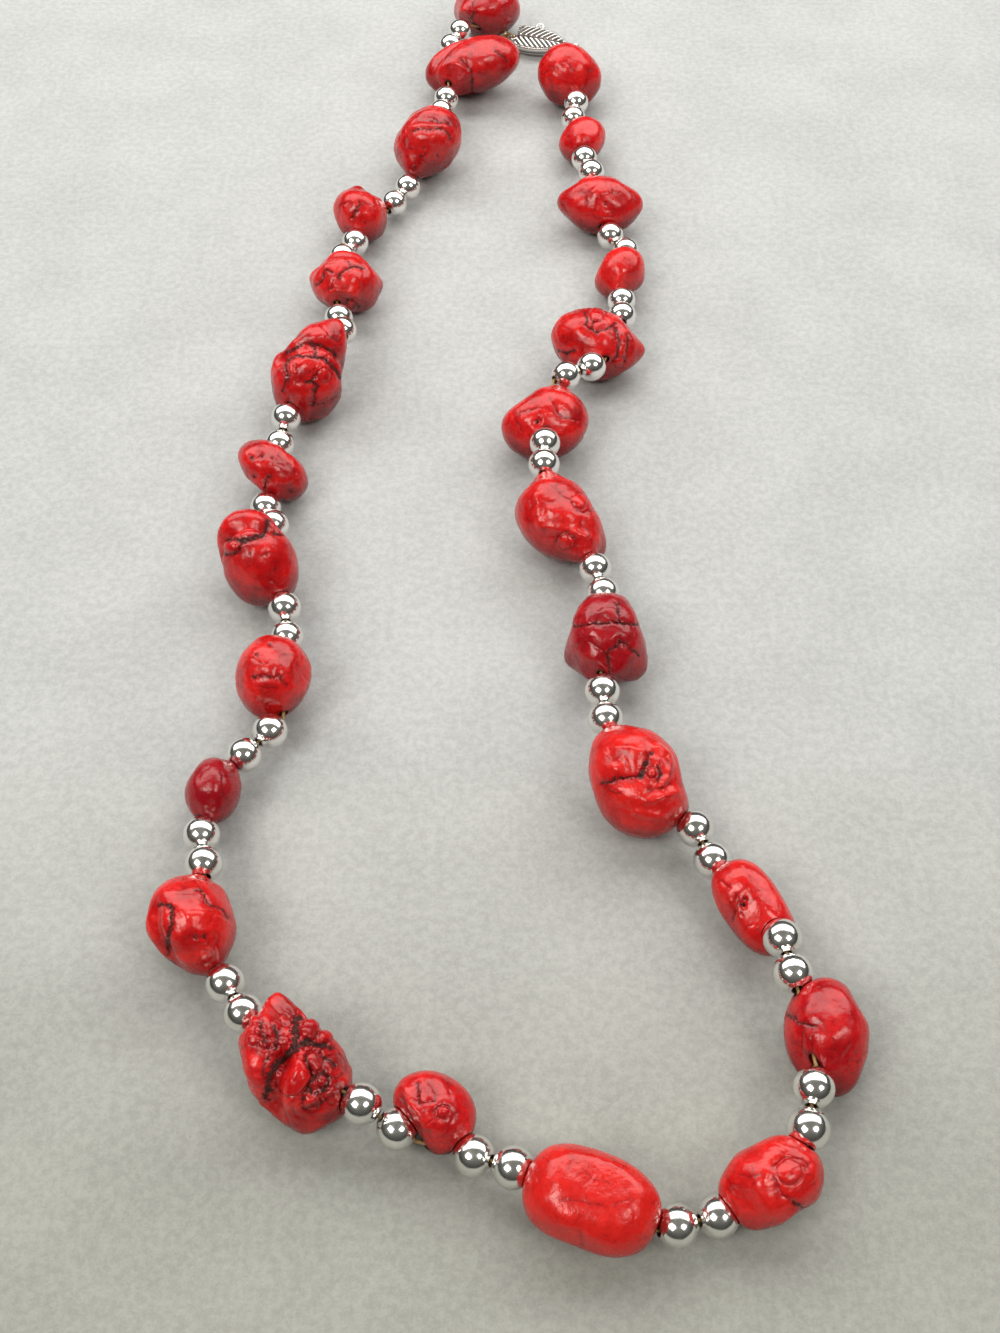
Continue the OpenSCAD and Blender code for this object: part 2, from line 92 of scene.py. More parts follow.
# One row per stone, as in the part's source, and its tint: less than 0 crimson, more than 0 orange.
STONE_COLUMNS = ("x", "y", "half_long", "half_short", "half_deep", "roll", "square",
                 "in_x", "in_y", "out_x", "out_y", "z", "in_z", "out_z", "tint", "rough")
STONE_ROWS = [
    (14.5, 103.5, 6.8, 6.3, 6, -33, 2, 15.5, 110.5, 16, 97, 6, 6, 5.5, 0, 0.35),
    (16.4, 82.3, 4.9, 4.3, 5.6, 38, 2, 14.5, 86.5, 16, 78, 5, 4.5, 6, 0, 0.2),
    (19, 59.3, 7.8, 5.4, 5.6, 0, 2, 18.5, 67.5, 19, 52.5, 5.5, 6.5, 4.5, -0.1, 0.4),
    (21.9, 39.6, 5, 4.1, 5.2, 50, 2, 25, 43.5, 22, 34, 4.5, 4, 4.5, 0.15, 0.1),
    (16.7, 17.9, 8, 5.9, 6.4, -18, 2, 21.5, 23.5, 18, 13.5, 6, 6, 8, 0, 0.4),
    (7.4, -1.9, 7.3, 6, 5.6, 11, 2, 9, 8.5, 7.5, -4, 6, 8.5, 8.5, 0, 0.3),
    (9.3, -24.7, 7.8, 6, 6.8, -36, 2, 7, -14.5, 14, -32, 6, 9, 6, 0.05, 0.3),
    (15.5, -48.9, 6.7, 5.8, 6.6, -80, 2.2, 16, -42, 14.5, -55.5, 6, 6, 7, -0.8, 0.4),
    (18.8, -74.5, 7.7, 6.3, 6.4, -58, 2.2, 15, -66, 25, -79, 6.5, 7.5, 5, 0.2, 0.3),
    (32.7, -92.7, 6.6, 3.9, 4.6, -41, 2.6, 29, -88.5, 35.5, -95, 5.5, 4.5, 7.5, 0.1, 0.2),
    (39.8, -110.4, 6.6, 5.2, 5.6, -69, 2, 37, -105, 38, -115, 6, 8.5, 7.5, -0.4, 0.2),
    (31.1, -128.4, 6.2, 5, 5.2, 40, 2, 35.5, -125, 27.5, -132, 5.5, 7.5, 2.6, 0.2, 0.2),
    (10.4, -130.8, 7.9, 5.4, 5.5, -12, 2.5, 17, -134.5, 4, -128, 6, 4.5, 6, 0.5, 0.1),
    (-7.8, -119.7, 5.3, 4.2, 4.6, -39, 2, -5.5, -124.5, -10, -123.5, 4.5, 3, 3.5, -0.15, 0.15),
    (-24.6, -115, 8.3, 5.8, 6.4, -64, 2, -18.5, -118.5, -30, -110.5, 7, 7.5, 6, -0.15, 0.9),
    (-39.5, -95.9, 6.3, 5.5, 6.6, -76, 2, -35.5, -102, -38.5, -89, 6, 5, 6.5, 0.1, 0.4),
    (-39.4, -74.4, 4.6, 3.8, 5.2, 76, 2, -40.5, -79, -37.5, -70.5, 4.5, 5, 4.5, -0.95, 0.1),
    (-32.7, -55.6, 6.1, 5.3, 6.4, 71, 2, -30.5, -62.5, -31, -50.5, 5.5, 5, 4.5, 0.1, 0.35),
    (-36.9, -33.1, 7.7, 5.8, 7, -68, 2, -32.5, -40, -34.5, -28, 6.5, 6, 5.5, -0.1, 0.3),
    (-36.8, -12.6, 6.3, 4.2, 5.6, -43, 2, -38, -18.5, -36.5, -9.5, 5, 3.5, 3.5, -0.2, 0.5),
    (-32.1, 8.8, 8.6, 6.5, 6.6, 66, 2, -35, 1, -27, 18, 7.5, 6.5, 8.5, -0.1, 0.7),
    (-27.9, 35.5, 6.4, 5.4, 6.8, -9, 2, -29, 27.5, -30, 41, 5.5, 6, 5, 0.05, 0.4),
    (-26.5, 56.6, 5.3, 4.6, 6.2, -50, 2, -26, 50.5, -21.5, 58, 5, 4.5, 3, 0.05, 0.4),
    (-14.3, 78.2, 7.2, 6.1, 7.8, 44, 2, -16.5, 67, -12.5, 87.5, 6, 4, 6.5, -0.2, 0.6),
    (-5.9, 106.9, 10.4, 5.6, 7.6, 15, 2, -10.5, 98, -11.5, 112.5, 6, 6.5, 6, -0.2, 0.3),
    (-2.8, 130.4, 7.3, 5.5, 8.5, 0, 2, -7.7, 130.2, -0.4, 127.4, 3, 7.5, 3, -0.4, 0.2),
]

# Lumps and dents of the outline: stone, clock, tilt, spread in degrees, rise.
LUMPS = [
    (1, 50, 0, 30, -0.6), (2, 150, 0, 30, -0.4),
    (3, 178, 0, 16, 0.7), (3, 150, 0, 20, -0.5), (3, 208, 0, 25, -0.6),
    (3, 8, 0, 18, 0.4), (3, 42, 0, 20, -0.5),
    (4, 165, 0, 25, -0.7), (4, 335, 0, 25, 0.5), (4, 225, 0, 25, 0.2),
    (5, 357, 0, 12, 0.7), (5, 318, 0, 20, -0.8), (5, 25, 0, 16, -0.4),
    (6, 138, 0, 28, -1.1),
    (7, 18, 0, 28, -0.9), (7, 140, 0, 25, -0.8), (7, 325, 0, 15, 1),
    (8, 35, 0, 25, -0.9), (8, 158, 0, 26, -1), (8, 322, 0, 20, 1.3), (8, 214, 0, 18, 0.9),
    (9, 138, 0, 20, 0.7), (9, 14, 0, 16, -1.3), (9, 338, 0, 15, 0.4),
    (10, 330, 0, 16, 0.6), (11, 305, 0, 25, 1.2), (11, 60, 0, 22, -0.9),
    (12, 140, 0, 28, -0.9), (12, 188, 0, 22, -0.6), (12, 268, 0, 20, 0.5),
    (12, 332, 0, 20, -0.8), (13, 208, 0, 20, 0.3), (14, 215, 5, 34, -1.1), (14, 268, 0, 26, 0.65),
    (15, 87, 0, 12, 1.9), (15, 119, 0, 18, -1.4), (15, 43, 0, 20, -1.8),
    (15, 168, 0, 20, -0.7), (15, 265, 0, 22, 0.9),
    (16, 145, 0, 16, -0.8), (16, 205, 0, 24, -0.5), (16, 232, 0, 12, -0.9),
    (16, 272, 0, 22, 0.4), (16, 30, 0, 22, 0.4),
    (17, 120, 0, 30, -0.6), (17, 0, 0, 30, 0.2), (18, 8, 0, 25, 0.3), (18, 232, 0, 20, 0.3),
    (19, 32, 0, 22, -1), (19, 345, 0, 22, -0.4), (19, 178, 0, 14, -1.1), (19, 240, 0, 28, 0.8),
    (20, 218, 0, 25, -1.2), (20, 40, 0, 24, -1), (20, 165, 0, 20, -0.5),
    (21, 116, 0, 22, -1.8), (21, 352, 0, 26, -1.5), (21, 53, 0, 14, 1.8),
    (22, 136, 0, 22, -0.9), (22, 165, 0, 12, 0.4), (22, 30, 0, 24, -1.1),
    (22, 350, 0, 12, 0.5), (22, 305, 0, 20, 0.6),
    (23, 50, 0, 20, -0.6), (23, 90, 0, 14, 0.4), (23, 215, 0, 20, 0.3), (23, 312, 0, 22, 0.2),
    (24, 38, 0, 20, 0.3), (24, 140, 0, 25, -0.6), (25, 200, 0, 20, -0.3),
    (26, 240, 0, 30, 0.3), (26, 90, -60, 45, -1),
]

# Broad creases: stone, clock and tilt of both ends, width in degrees, depth.
CREASES = [
    (5, 36, 40, 318, 30, 12, 0.5),
    (8, 276, 0, 285, 50, 12, 1),
    (15, 84, 10, 150, 75, 12, 1.5),
    (15, 150, 75, 232, 20, 12, 1.5),
    (16, 146, 40, 232, 25, 12, 0.8),
    (19, 168, 5, 55, 35, 12, 2),
    (21, 152, 25, 4, 10, 12, 1.2),
    (22, 160, 10, 60, 30, 12, 0.6),
    (25, 112, 10, 268, 0, 12, 1.5),
]

# Worn flats: stone, clock, tilt, how deep they are worn in mm.
FLATS = [
    (1, 100, 50, 0.3), (2, 60, 55, 0.3), (4, 60, 60, 0.3), (6, 40, 60, 0.3),
    (7, 110, 60, 0.35), (9, 250, 50, 0.3), (10, 70, 55, 0.3), (10, 200, 40, 0.25), (11, 105, 55, 0.4),
    (11, 255, 40, 0.5), (11, 330, 45, 0.4), (12, 90, 60, 0.3), (12, 230, 45, 0.3),
    (13, 85, 64, 0.6), (13, 265, 35, 0.3), (14, 215, 40, 0.4), (16, 60, 65, 0.3),
    (17, 110, 55, 0.25), (18, 75, 55, 0.35), (18, 250, 40, 0.35), (18, 0, 45, 0.3),
    (20, 60, 60, 0.3), (24, 80, 55, 0.35), (25, 60, 55, 0.4), (25, 200, 50, 0.4),
    (26, 90, 50, 0.3),
]

# Cracks on the seen face: stone, shoulder width, depth, half width of the brown filling, and the
# places they pass, in mm to the right of and above the stone's middle as seen.
CRACKS = [
    (1, 0.4, 0.12, 0, ((-3.7, 1.8), (-3, 0.9))),
    (1, 0.4, 0.15, 0, ((-0.5, 2.6), (0.2, 2), (0.8, 1.3))),
    (1, 0.4, 0.12, 0, ((4.2, 1.6), (3.6, 0.2), (2.9, -2.2))),
    (1, 0.4, 0.15, 0, ((-3.7, -0.5), (-3.4, -2.9), (-1.6, -4))),
    (2, 0.4, 0.2, 0, ((-0.2, -1.5), (0.7, -1.1), (1.5, -1.2))),
    (2, 0.4, 0.1, 0, ((-2.2, -0.4), (-1.8, -1.2), (-1.2, -2.2))),
    (3, 0.5, 0.3, 0, ((-7.2, 0.3), (-6.6, -0.6), (-6.1, -1.4))),
    (3, 0.4, 0.12, 0, ((2.1, -1.1), (2.6, -2.2))),
    (3, 0.4, 0.12, 0, ((3, 3.5), (2.4, 2.6), (2.6, 1.9))),
    (3, 0.4, 0.12, 0, ((-3.6, 2.2), (-2.6, 1.4), (-2.2, 0.5))),
    (3, 0.4, 0.1, 0, ((-0.9, -2), (0.3, -2.4))),
    (4, 0.4, 0.08, 0, ((2, -2), (1.2, -1.2))),
    (5, 0.4, 0.3, 0.1, ((-2.2, 5.3), (-1.7, 4), (-1.9, 3.2))),
    (5, 0.4, 0.25, 0.05, ((-0.6, 3.8), (-1, 2.7), (-0.1, 2), (1.2, 2.6), (2.6, 3.2), (3.3, 3.8))),
    (5, 0.4, 0.25, 0.08, ((3.1, 2.9), (3.9, 0.8), (3.7, -1.6), (3.1, -2.8))),
    (5, 0.4, 0.2, 0.05, ((5.5, 2.2), (5.4, -0.4), (5.1, -2.6))),
    (5, 0.5, 0.3, 0.1, ((-6.3, -1.4), (-4.8, -1.6), (-3.6, -1.2))),
    (5, 0.4, 0.2, 0, ((3.9, 0.8), (5.5, 0.6))),
    (6, 0.4, 0.22, 0, ((0.6, 4), (1.5, 2.8), (2.2, 1.5), (3, 0.8), (5.7, 0.6))),
    (6, 0.4, 0.18, 0, ((-1.6, 2.2), (-4.1, 1.5), (-4.8, 0.3), (-3.6, -1.5))),
    (7, 0.4, 0.22, 0, ((-0.7, 5.7), (-0.6, 4.6), (0.7, 3.8), (1.6, 3.4), (2.3, 2), (3.8, 1.5), (5.2, 2.2))),
    (7, 0.3, 0.2, 0, ((-0.6, -3.9), (-0.1, -2.2), (1.3, -1.5), (3, -2.7), (2.8, -4.4))),
    (7, 0.4, 0.15, 0, ((-2.3, -1.2), (-2.1, -2.2), (-0.4, -2.4))),
    (7, 0.3, 0.12, 0, ((3.3, 0.2), (3.2, -1))),
    (7, 0.3, 0.1, 0, ((-4.8, 0.5), (-4.6, -1.5))),
    (8, 0.5, 0.35, 0.06, ((-4.5, 1.8), (-1.5, 2.5), (0.9, 2.8), (3.1, 2.8), (4.8, 2.7))),
    (8, 0.4, 0.25, 0.04, ((1.3, 5.6), (1.6, 3.3))),
    (8, 0.4, 0.25, 0.04, ((2.1, 0.2), (3.3, -0.5), (5, -1.7))),
    (8, 0.4, 0.3, 0.05, ((2.1, 0.2), (1.5, -0.7), (0.2, -1.6), (0.7, -2.9), (0.9, -5))),
    (8, 0.4, 0.2, 0, ((0.1, -1.5), (-1, -1), (-2.3, -0.4))),
    (8, 0.5, 0.3, 0.05, ((-0.1, -4.4), (-0.1, -6.5))),
    (8, 0.4, 0.15, 0, ((-4.2, -2.4), (-3.6, -3.2))),
    (9, 0.4, 0.3, 0.03, ((-4.8, -0.5), (-3.8, -0.1), (-2.4, 0.5), (-1.2, 0.8), (0.15, 1.1))),
    (9, 0.5, 0.4, 0.22, ((0.15, 1.1), (0.5, 2.1), (0.7, 3.2))),
    (9, 0.4, 0.35, 0.08, ((0.7, 3.2), (1, 4), (1.4, 4.4))),
    (9, 0.4, 0.25, 0.1, ((2.4, 2.6), (2.8, 1.7), (2.4, 1))),
    (9, 0.4, 0.18, 0, ((1.5, -0.7), (2.9, -0.1), (4.1, 0.6))),
    (9, 0.4, 0.2, 0, ((3.4, 3.7), (4.1, 2.8), (4.1, 1.9))),
    (9, 0.4, 0.15, 0, ((-4.8, -0.5), (-3.4, -1.4), (-2.2, -1.6))),
    (10, 0.4, 0.2, 0, ((-2.4, 1), (-2, 0.1), (-1.9, -1.2), (-2, -2.3))),
    (10, 0.4, 0.2, 0, ((-4.6, 2), (-3.6, 1.5))),
    (10, 0.4, 0.15, 0, ((-1.3, 0.6), (-1.2, -1.5))),
    (11, 0.4, 0.25, 0.04, ((-5.1, -0.1), (-4.1, 0), (-3, -0.4), (-1.4, 0.1))),
    (11, 0.4, 0.15, 0, ((-2.5, -1.4), (-1.6, -3.9))),
    (11, 0.4, 0.15, 0, ((-1.5, -1.3), (-0.9, -2.3), (-0.2, -4))),
    (11, 0.3, 0.12, 0, ((-2.9, 4.8), (-2.3, 4.5))),
    (12, 0.35, 0.22, 0, ((-0.2, 1.2), (0.1, 1.9), (0.7, 2.8), (1.6, 3.4), (2.6, 3.4), (3.2, 3))),
    (12, 0.35, 0.22, 0, ((0, 0.1), (0.5, 0.1), (1.2, -0.5), (1.9, -1.1), (3, -1.2), (3.7, -1.6))),
    (12, 0.35, 0.12, 0, ((-3.2, -1), (-2.3, -0.8), (-1.3, 0))),
    (12, 0.5, 0.35, 0.06, ((3.2, -1.2), (4.6, -1.5))),
    (13, 0.3, 0.08, 0, ((-2.6, 3.9), (-3, 2.6))),
    (13, 0.3, 0.1, 0, ((2.6, -0.3), (3, 0), (4.1, 0.6))),
    (13, 0.3, 0.12, 0, ((-0.9, -3.6), (-0.6, -4.2), (-0.4, -5))),
    (13, 0.3, 0.06, 0, ((-3.5, -0.6), (-1.2, -0.4), (1.6, -0.5))),
    (14, 0.3, 0.2, 0, ((0, -0.3), (0.3, 0.3), (1.1, 0.6), (1.8, 0.1), (2.3, -0.8),
                        (1.8, -1.2), (0.9, -1.1), (0.2, -0.7))),
    (14, 0.4, 0.3, 0.05, ((-1.7, 3), (-1.5, 2.2), (-1.7, 1.1))),
    (14, 0.4, 0.2, 0, ((-0.4, 3.3), (0, 2.4), (0.4, 1.8))),
    (14, 0.35, 0.22, 0, ((-2.3, 1.3), (-1, 0.8), (0.2, 1), (0.4, 1.8))),
    (14, 0.3, 0.08, 0, ((1.9, 3.4), (1.85, 1.8))),
    (14, 0.7, 0.3, 0, ((-3.9, 1.9), (-3.1, 0.2), (-2.2, -1.5), (-1.4, -3.3))),
    (15, 0.4, 0.5, 0.34, ((3.3, 5.5), (1.6, 4.9), (1, 3.7), (0.9, 2))),
    (15, 0.4, 0.5, 0.42, ((0.9, 2), (-0.55, 1.1), (-2.1, 0.3))),
    (15, 0.4, 0.45, 0.25, ((-2.1, 0.3), (-3.2, -0.9), (-4, -2.8))),
    (15, 0.4, 0.25, 0.25, ((0.7, 1.8), (2, 2), (3.3, 1.3), (4.4, 0.7))),
    (15, 0.4, 0.3, 0.1, ((-2.5, 5.7), (-2.7, 4.2), (-2.5, 2.7))),
    (15, 0.4, 0.3, 0.1, ((-1.2, 4.8), (-1, 3.6), (-1.6, 2.2))),
    (15, 0.4, 0.2, 0.04, ((-2.7, 1.5), (-3.6, 0.2), (-3.8, -1.2))),
    (15, 0.4, 0.35, 0.1, ((1.5, 0.4), (1.7, -0.9), (1.7, -2.2), (0.6, -3.3), (-0.2, -4.2))),
    (15, 0.35, 0.3, 0.08, ((1.7, -2.2), (2.3, -2.1), (3.1, -2), (3.5, -2.9), (2.8, -3.8), (1.5, -3.9))),
    (15, 0.4, 0.3, 0.05, ((-0.1, -5.2), (1.4, -5.2), (3.3, -4.8))),
    (15, 0.4, 0.25, 0.08, ((3.4, -0.2), (4.6, -1.6))),
    (16, 0.45, 0.3, 0.1, ((-2.9, 3.8), (-1.8, 3.4), (-1.5, 2.7), (-1.7, 1.9), (-2.2, 0.9))),
    (16, 0.45, 0.3, 0.15, ((-2.2, 0.9), (-2.8, -0.2), (-3.3, -1.3), (-3.6, -2.4))),
    (16, 0.35, 0.2, 0.03, ((1.9, 4.2), (2.6, 3.8), (2.6, 2.2), (3.5, 1.3), (4.3, 0.4), (4.6, -0.6))),
    (16, 0.3, 0.12, 0, ((-1.2, -1.4), (-0.2, -1.2), (0.6, -1.8), (1.4, -1.7))),
    (17, 0.35, 0.12, 0, ((1.9, 1.9), (1.35, 0), (1.2, -0.8), (1.7, -1.8))),
    (17, 0.35, 0.12, 0, ((1.9, 1.9), (3, 1.2))),
    (18, 0.35, 0.18, 0.02, ((-2.8, 0.7), (-1.7, 1), (-0.8, 0.4), (0.2, 0.1), (0.7, 0.6),
                           (1, 0.1), (1.35, -0.6), (1.6, -1.2))),
    (18, 0.35, 0.15, 0, ((1.2, 4.1), (1.8, 3.5), (2.5, 2.9))),
    (18, 0.35, 0.1, 0, ((-2, -0.6), (-0.8, -0.9), (0.2, -1.2))),
    (19, 0.45, 0.3, 0.1, ((-4.1, 3.7), (-2.9, 3.5), (-1.8, 3.2))),
    (19, 0.45, 0.4, 0.35, ((-1.8, 3.2), (-0.6, 3.1), (0.7, 3.3), (1.4, 3.6))),
    (19, 0.45, 0.3, 0.12, ((1.6, 3.7), (2.2, 4.7), (2.4, 5.4))),
    (19, 0.4, 0.3, 0.08, ((-5, 1.8), (-4, 1.4), (-2.9, 1.7), (-2.2, 2.4))),
    (19, 0.4, 0.25, 0.2, ((3, 3.5), (3.9, 3.2))),
    (19, 0.35, 0.12, 0, ((0.6, 0.4), (1.6, 0.8), (2.2, 0.6))),
    (19, 0.5, 0.1, 0, ((-0.9, -2.7), (0.8, -2.6), (1.8, -2.1))),
    (20, 0.5, 0.35, 0.06, ((-0.5, -0.5), (-1, -0.9), (-1.5, -1.6), (-1.5, -2.6))),
    (20, 0.4, 0.18, 0, ((1.4, 2.4), (2.1, 1.7), (2.9, 0.5), (3.8, -0.7))),
    (20, 0.4, 0.12, 0, ((1, -2.4), (2.4, -2.4), (3.4, -2))),
    (21, 0.45, 0.35, 0.08, ((-3.7, -0.1), (-4, 1.2), (-3.4, 2.4), (-1.9, 2.9), (-0.6, 2.8), (0.9, 2.4))),
    (21, 0.45, 0.4, 0.15, ((0.9, 2.4), (2.4, 2.1), (3.5, 1), (4.4, -0.4), (4.8, -1.4))),
    (21, 0.4, 0.3, 0.08, ((-3.6, 3.6), (-2, 4.2), (-0.4, 5), (0.5, 4.9))),
    (21, 0.4, 0.35, 0.15, ((0.5, 4.9), (1.3, 4.4), (2.6, 4), (4, 3.2), (4.6, 2.3))),
    (21, 0.4, 0.25, 0.1, ((0.9, 4.9), (1.1, 3.6), (1.3, 2.6))),
    (21, 0.4, 0.2, 0.04, ((4, 5.6), (4.7, 5), (5.3, 4.7))),
    (21, 0.4, 0.3, 0.1, ((-1, -1.5), (-0.1, -1.4), (0.7, -0.5))),
    (21, 0.4, 0.3, 0.12, ((-0.1, -1.4), (0.9, -2.2), (0.2, -3.7), (-0.2, -5.4))),
    (21, 0.4, 0.2, 0.04, ((-3.7, -0.1), (-4.4, -1.4), (-5, -2.6))),
    (21, 0.4, 0.18, 0.03, ((0.4, -5.2), (2, -5), (3.4, -4.4))),
    (22, 0.4, 0.28, 0.06, ((-5.3, 0.1), (-4.3, 0.6), (-3.7, 2), (-3.1, 2.6), (-2.3, 2))),
    (22, 0.4, 0.32, 0.06, ((-1.2, 0.8), (-1.2, 1.5), (-0.2, 2), (1, 2.7), (2.1, 2.8), (3.2, 2.3))),
    (22, 0.35, 0.22, 0.03, ((0.75, 3.7), (1, 2.7))),
    (22, 0.35, 0.12, 0, ((-0.8, -0.9), (0, -0.6))),
    (22, 0.4, 0.25, 0.05, ((-0.7, -3.7), (-0.1, -3), (0.9, -3))),
    (22, 0.4, 0.25, 0.05, ((1.5, -3.7), (1.9, -4.3))),
    (22, 0.35, 0.12, 0, ((-2.4, -0.5), (-3.3, -1.2))),
    (23, 0.35, 0.25, 0.05, ((0, 2.7), (0.1, 1.9), (-0.4, 1.4), (-0.6, 1))),
    (23, 0.35, 0.25, 0.05, ((-0.8, 0.9), (-1.2, 0.5), (-1.5, -0.1))),
    (23, 0.35, 0.15, 0, ((0.1, 1.9), (0.8, 2.1))),
    (23, 0.4, 0.18, 0, ((-3.8, 2.2), (-3, 2.6), (-2.2, 2.6))),
    (23, 0.4, 0.12, 0, ((-3, -1.4), (-2.3, -2.2))),
    (24, 0.4, 0.2, 0.03, ((0.6, 4.7), (1.9, 4.6), (3.1, 4.2), (4.3, 4))),
    (24, 0.4, 0.22, 0.04, ((-2.9, 2.7), (-1.8, 3.1), (-0.6, 3.2), (0.6, 2.9))),
    (24, 0.4, 0.22, 0.04, ((1.4, 3.1), (2.1, 3.2), (3.1, 3), (3.9, 2.2), (4.6, 1.2))),
    (24, 0.35, 0.12, 0, ((-1.8, 4.6), (-0.6, 4.7))),
    (24, 0.35, 0.12, 0, ((1, 5.6), (2.4, 5.7))),
    (25, 0.4, 0.25, 0.04, ((-2, 1.5), (-1, 0.6), (-0.2, -0.6), (0.05, -2.3))),
    (25, 0.5, 0.35, 0.15, ((0.05, -2.3), (-0.1, -4.1), (0, -5.7))),
    (25, 0.35, 0.12, 0, ((-1.7, 3.2), (-0.7, 3.2), (-0.1, 2.4))),
    (25, 0.4, 0.22, 0.04, ((4.8, 3.4), (5.7, 2.6), (6.8, 1.9), (7.3, 1.1))),
    (26, 0.45, 0.22, 0.03, ((-3.1, 4.1), (-2.9, 2.6), (-3.1, 1.4), (-3.8, 0.4))),
    (26, 0.4, 0.15, 0, ((3.6, 2.6), (3.8, 1.6), (4.9, 1.3))),
]

# Rounded ridges on the seen face: stone, half width, rise, and the places they pass.
RIDGES = [
    (5, 0.5, 0.25, ((4.5, 2.2), (4.7, -1.6))),
    (7, 0.6, 0.3, ((-3.6, 4.1), (-3.4, 1.3), (-2.9, -0.9), (-0.9, -0.9), (1.5, -1.2), (4.2, -1.9))),
    (9, 0.7, 0.35, ((-3.4, 4.4), (-1.7, 4.5), (-0.1, 4.4))),
    (9, 0.55, 0.4, ((2.2, 5.2), (3.4, 4.4), (3.9, 3.4), (3.8, 1.8), (3.2, 0.4))),
    (9, 0.6, 0.4, ((1.4, -1.9), (3, -1.1), (5.1, -0.3))),
    (9, 0.6, 0.3, ((0.3, -3.5), (1.8, -3.7), (3.3, -3.7))),
    (9, 1.2, 0.3, ((-1.8, -1.5), (0.2, -1.5))),
    (9, 0.55, 0.3, ((-3.3, 1.7), (-2.9, 1.7))),
    (16, 1.1, 0.3, ((0.6, 1.3), (1.6, 1.2))),
    (12, 1.1, 0.35, ((-0.6, 3.2), (-1.2, 0.5), (-0.8, -1.4), (1.2, -3))),
    (14, 0.3, 0.25, ((-1.6, 3), (-1.3, 1.2))),
    (14, 0.45, 0.3, ((-3.3, 2.8), (-2.6, 0.9), (-1.6, -0.7), (-1, -2))),
    (15, 1, 0.35, ((-4.5, 1.6), (-4.8, -0.2), (-4.3, -1.6))),
    (21, 0.5, 0.3, ((-3.2, 0.2), (-3.3, 1.4), (-2.3, 2.1), (-1.5, 1.9))),
    (21, 0.5, 0.3, ((1, 3.9), (2.2, 3.4), (3.4, 2.6))),
    (21, 0.8, 0.3, ((1.6, 5.5), (3.4, 5.6), (4.6, 4.4))),
    (24, 0.5, 0.2, ((-3, 3.6), (0.5, 3.9), (3.8, 3.5))),
    (24, 1.2, 0.3, ((-2.2, 1.5), (1.5, 1.6), (2.8, 0.6))),
]

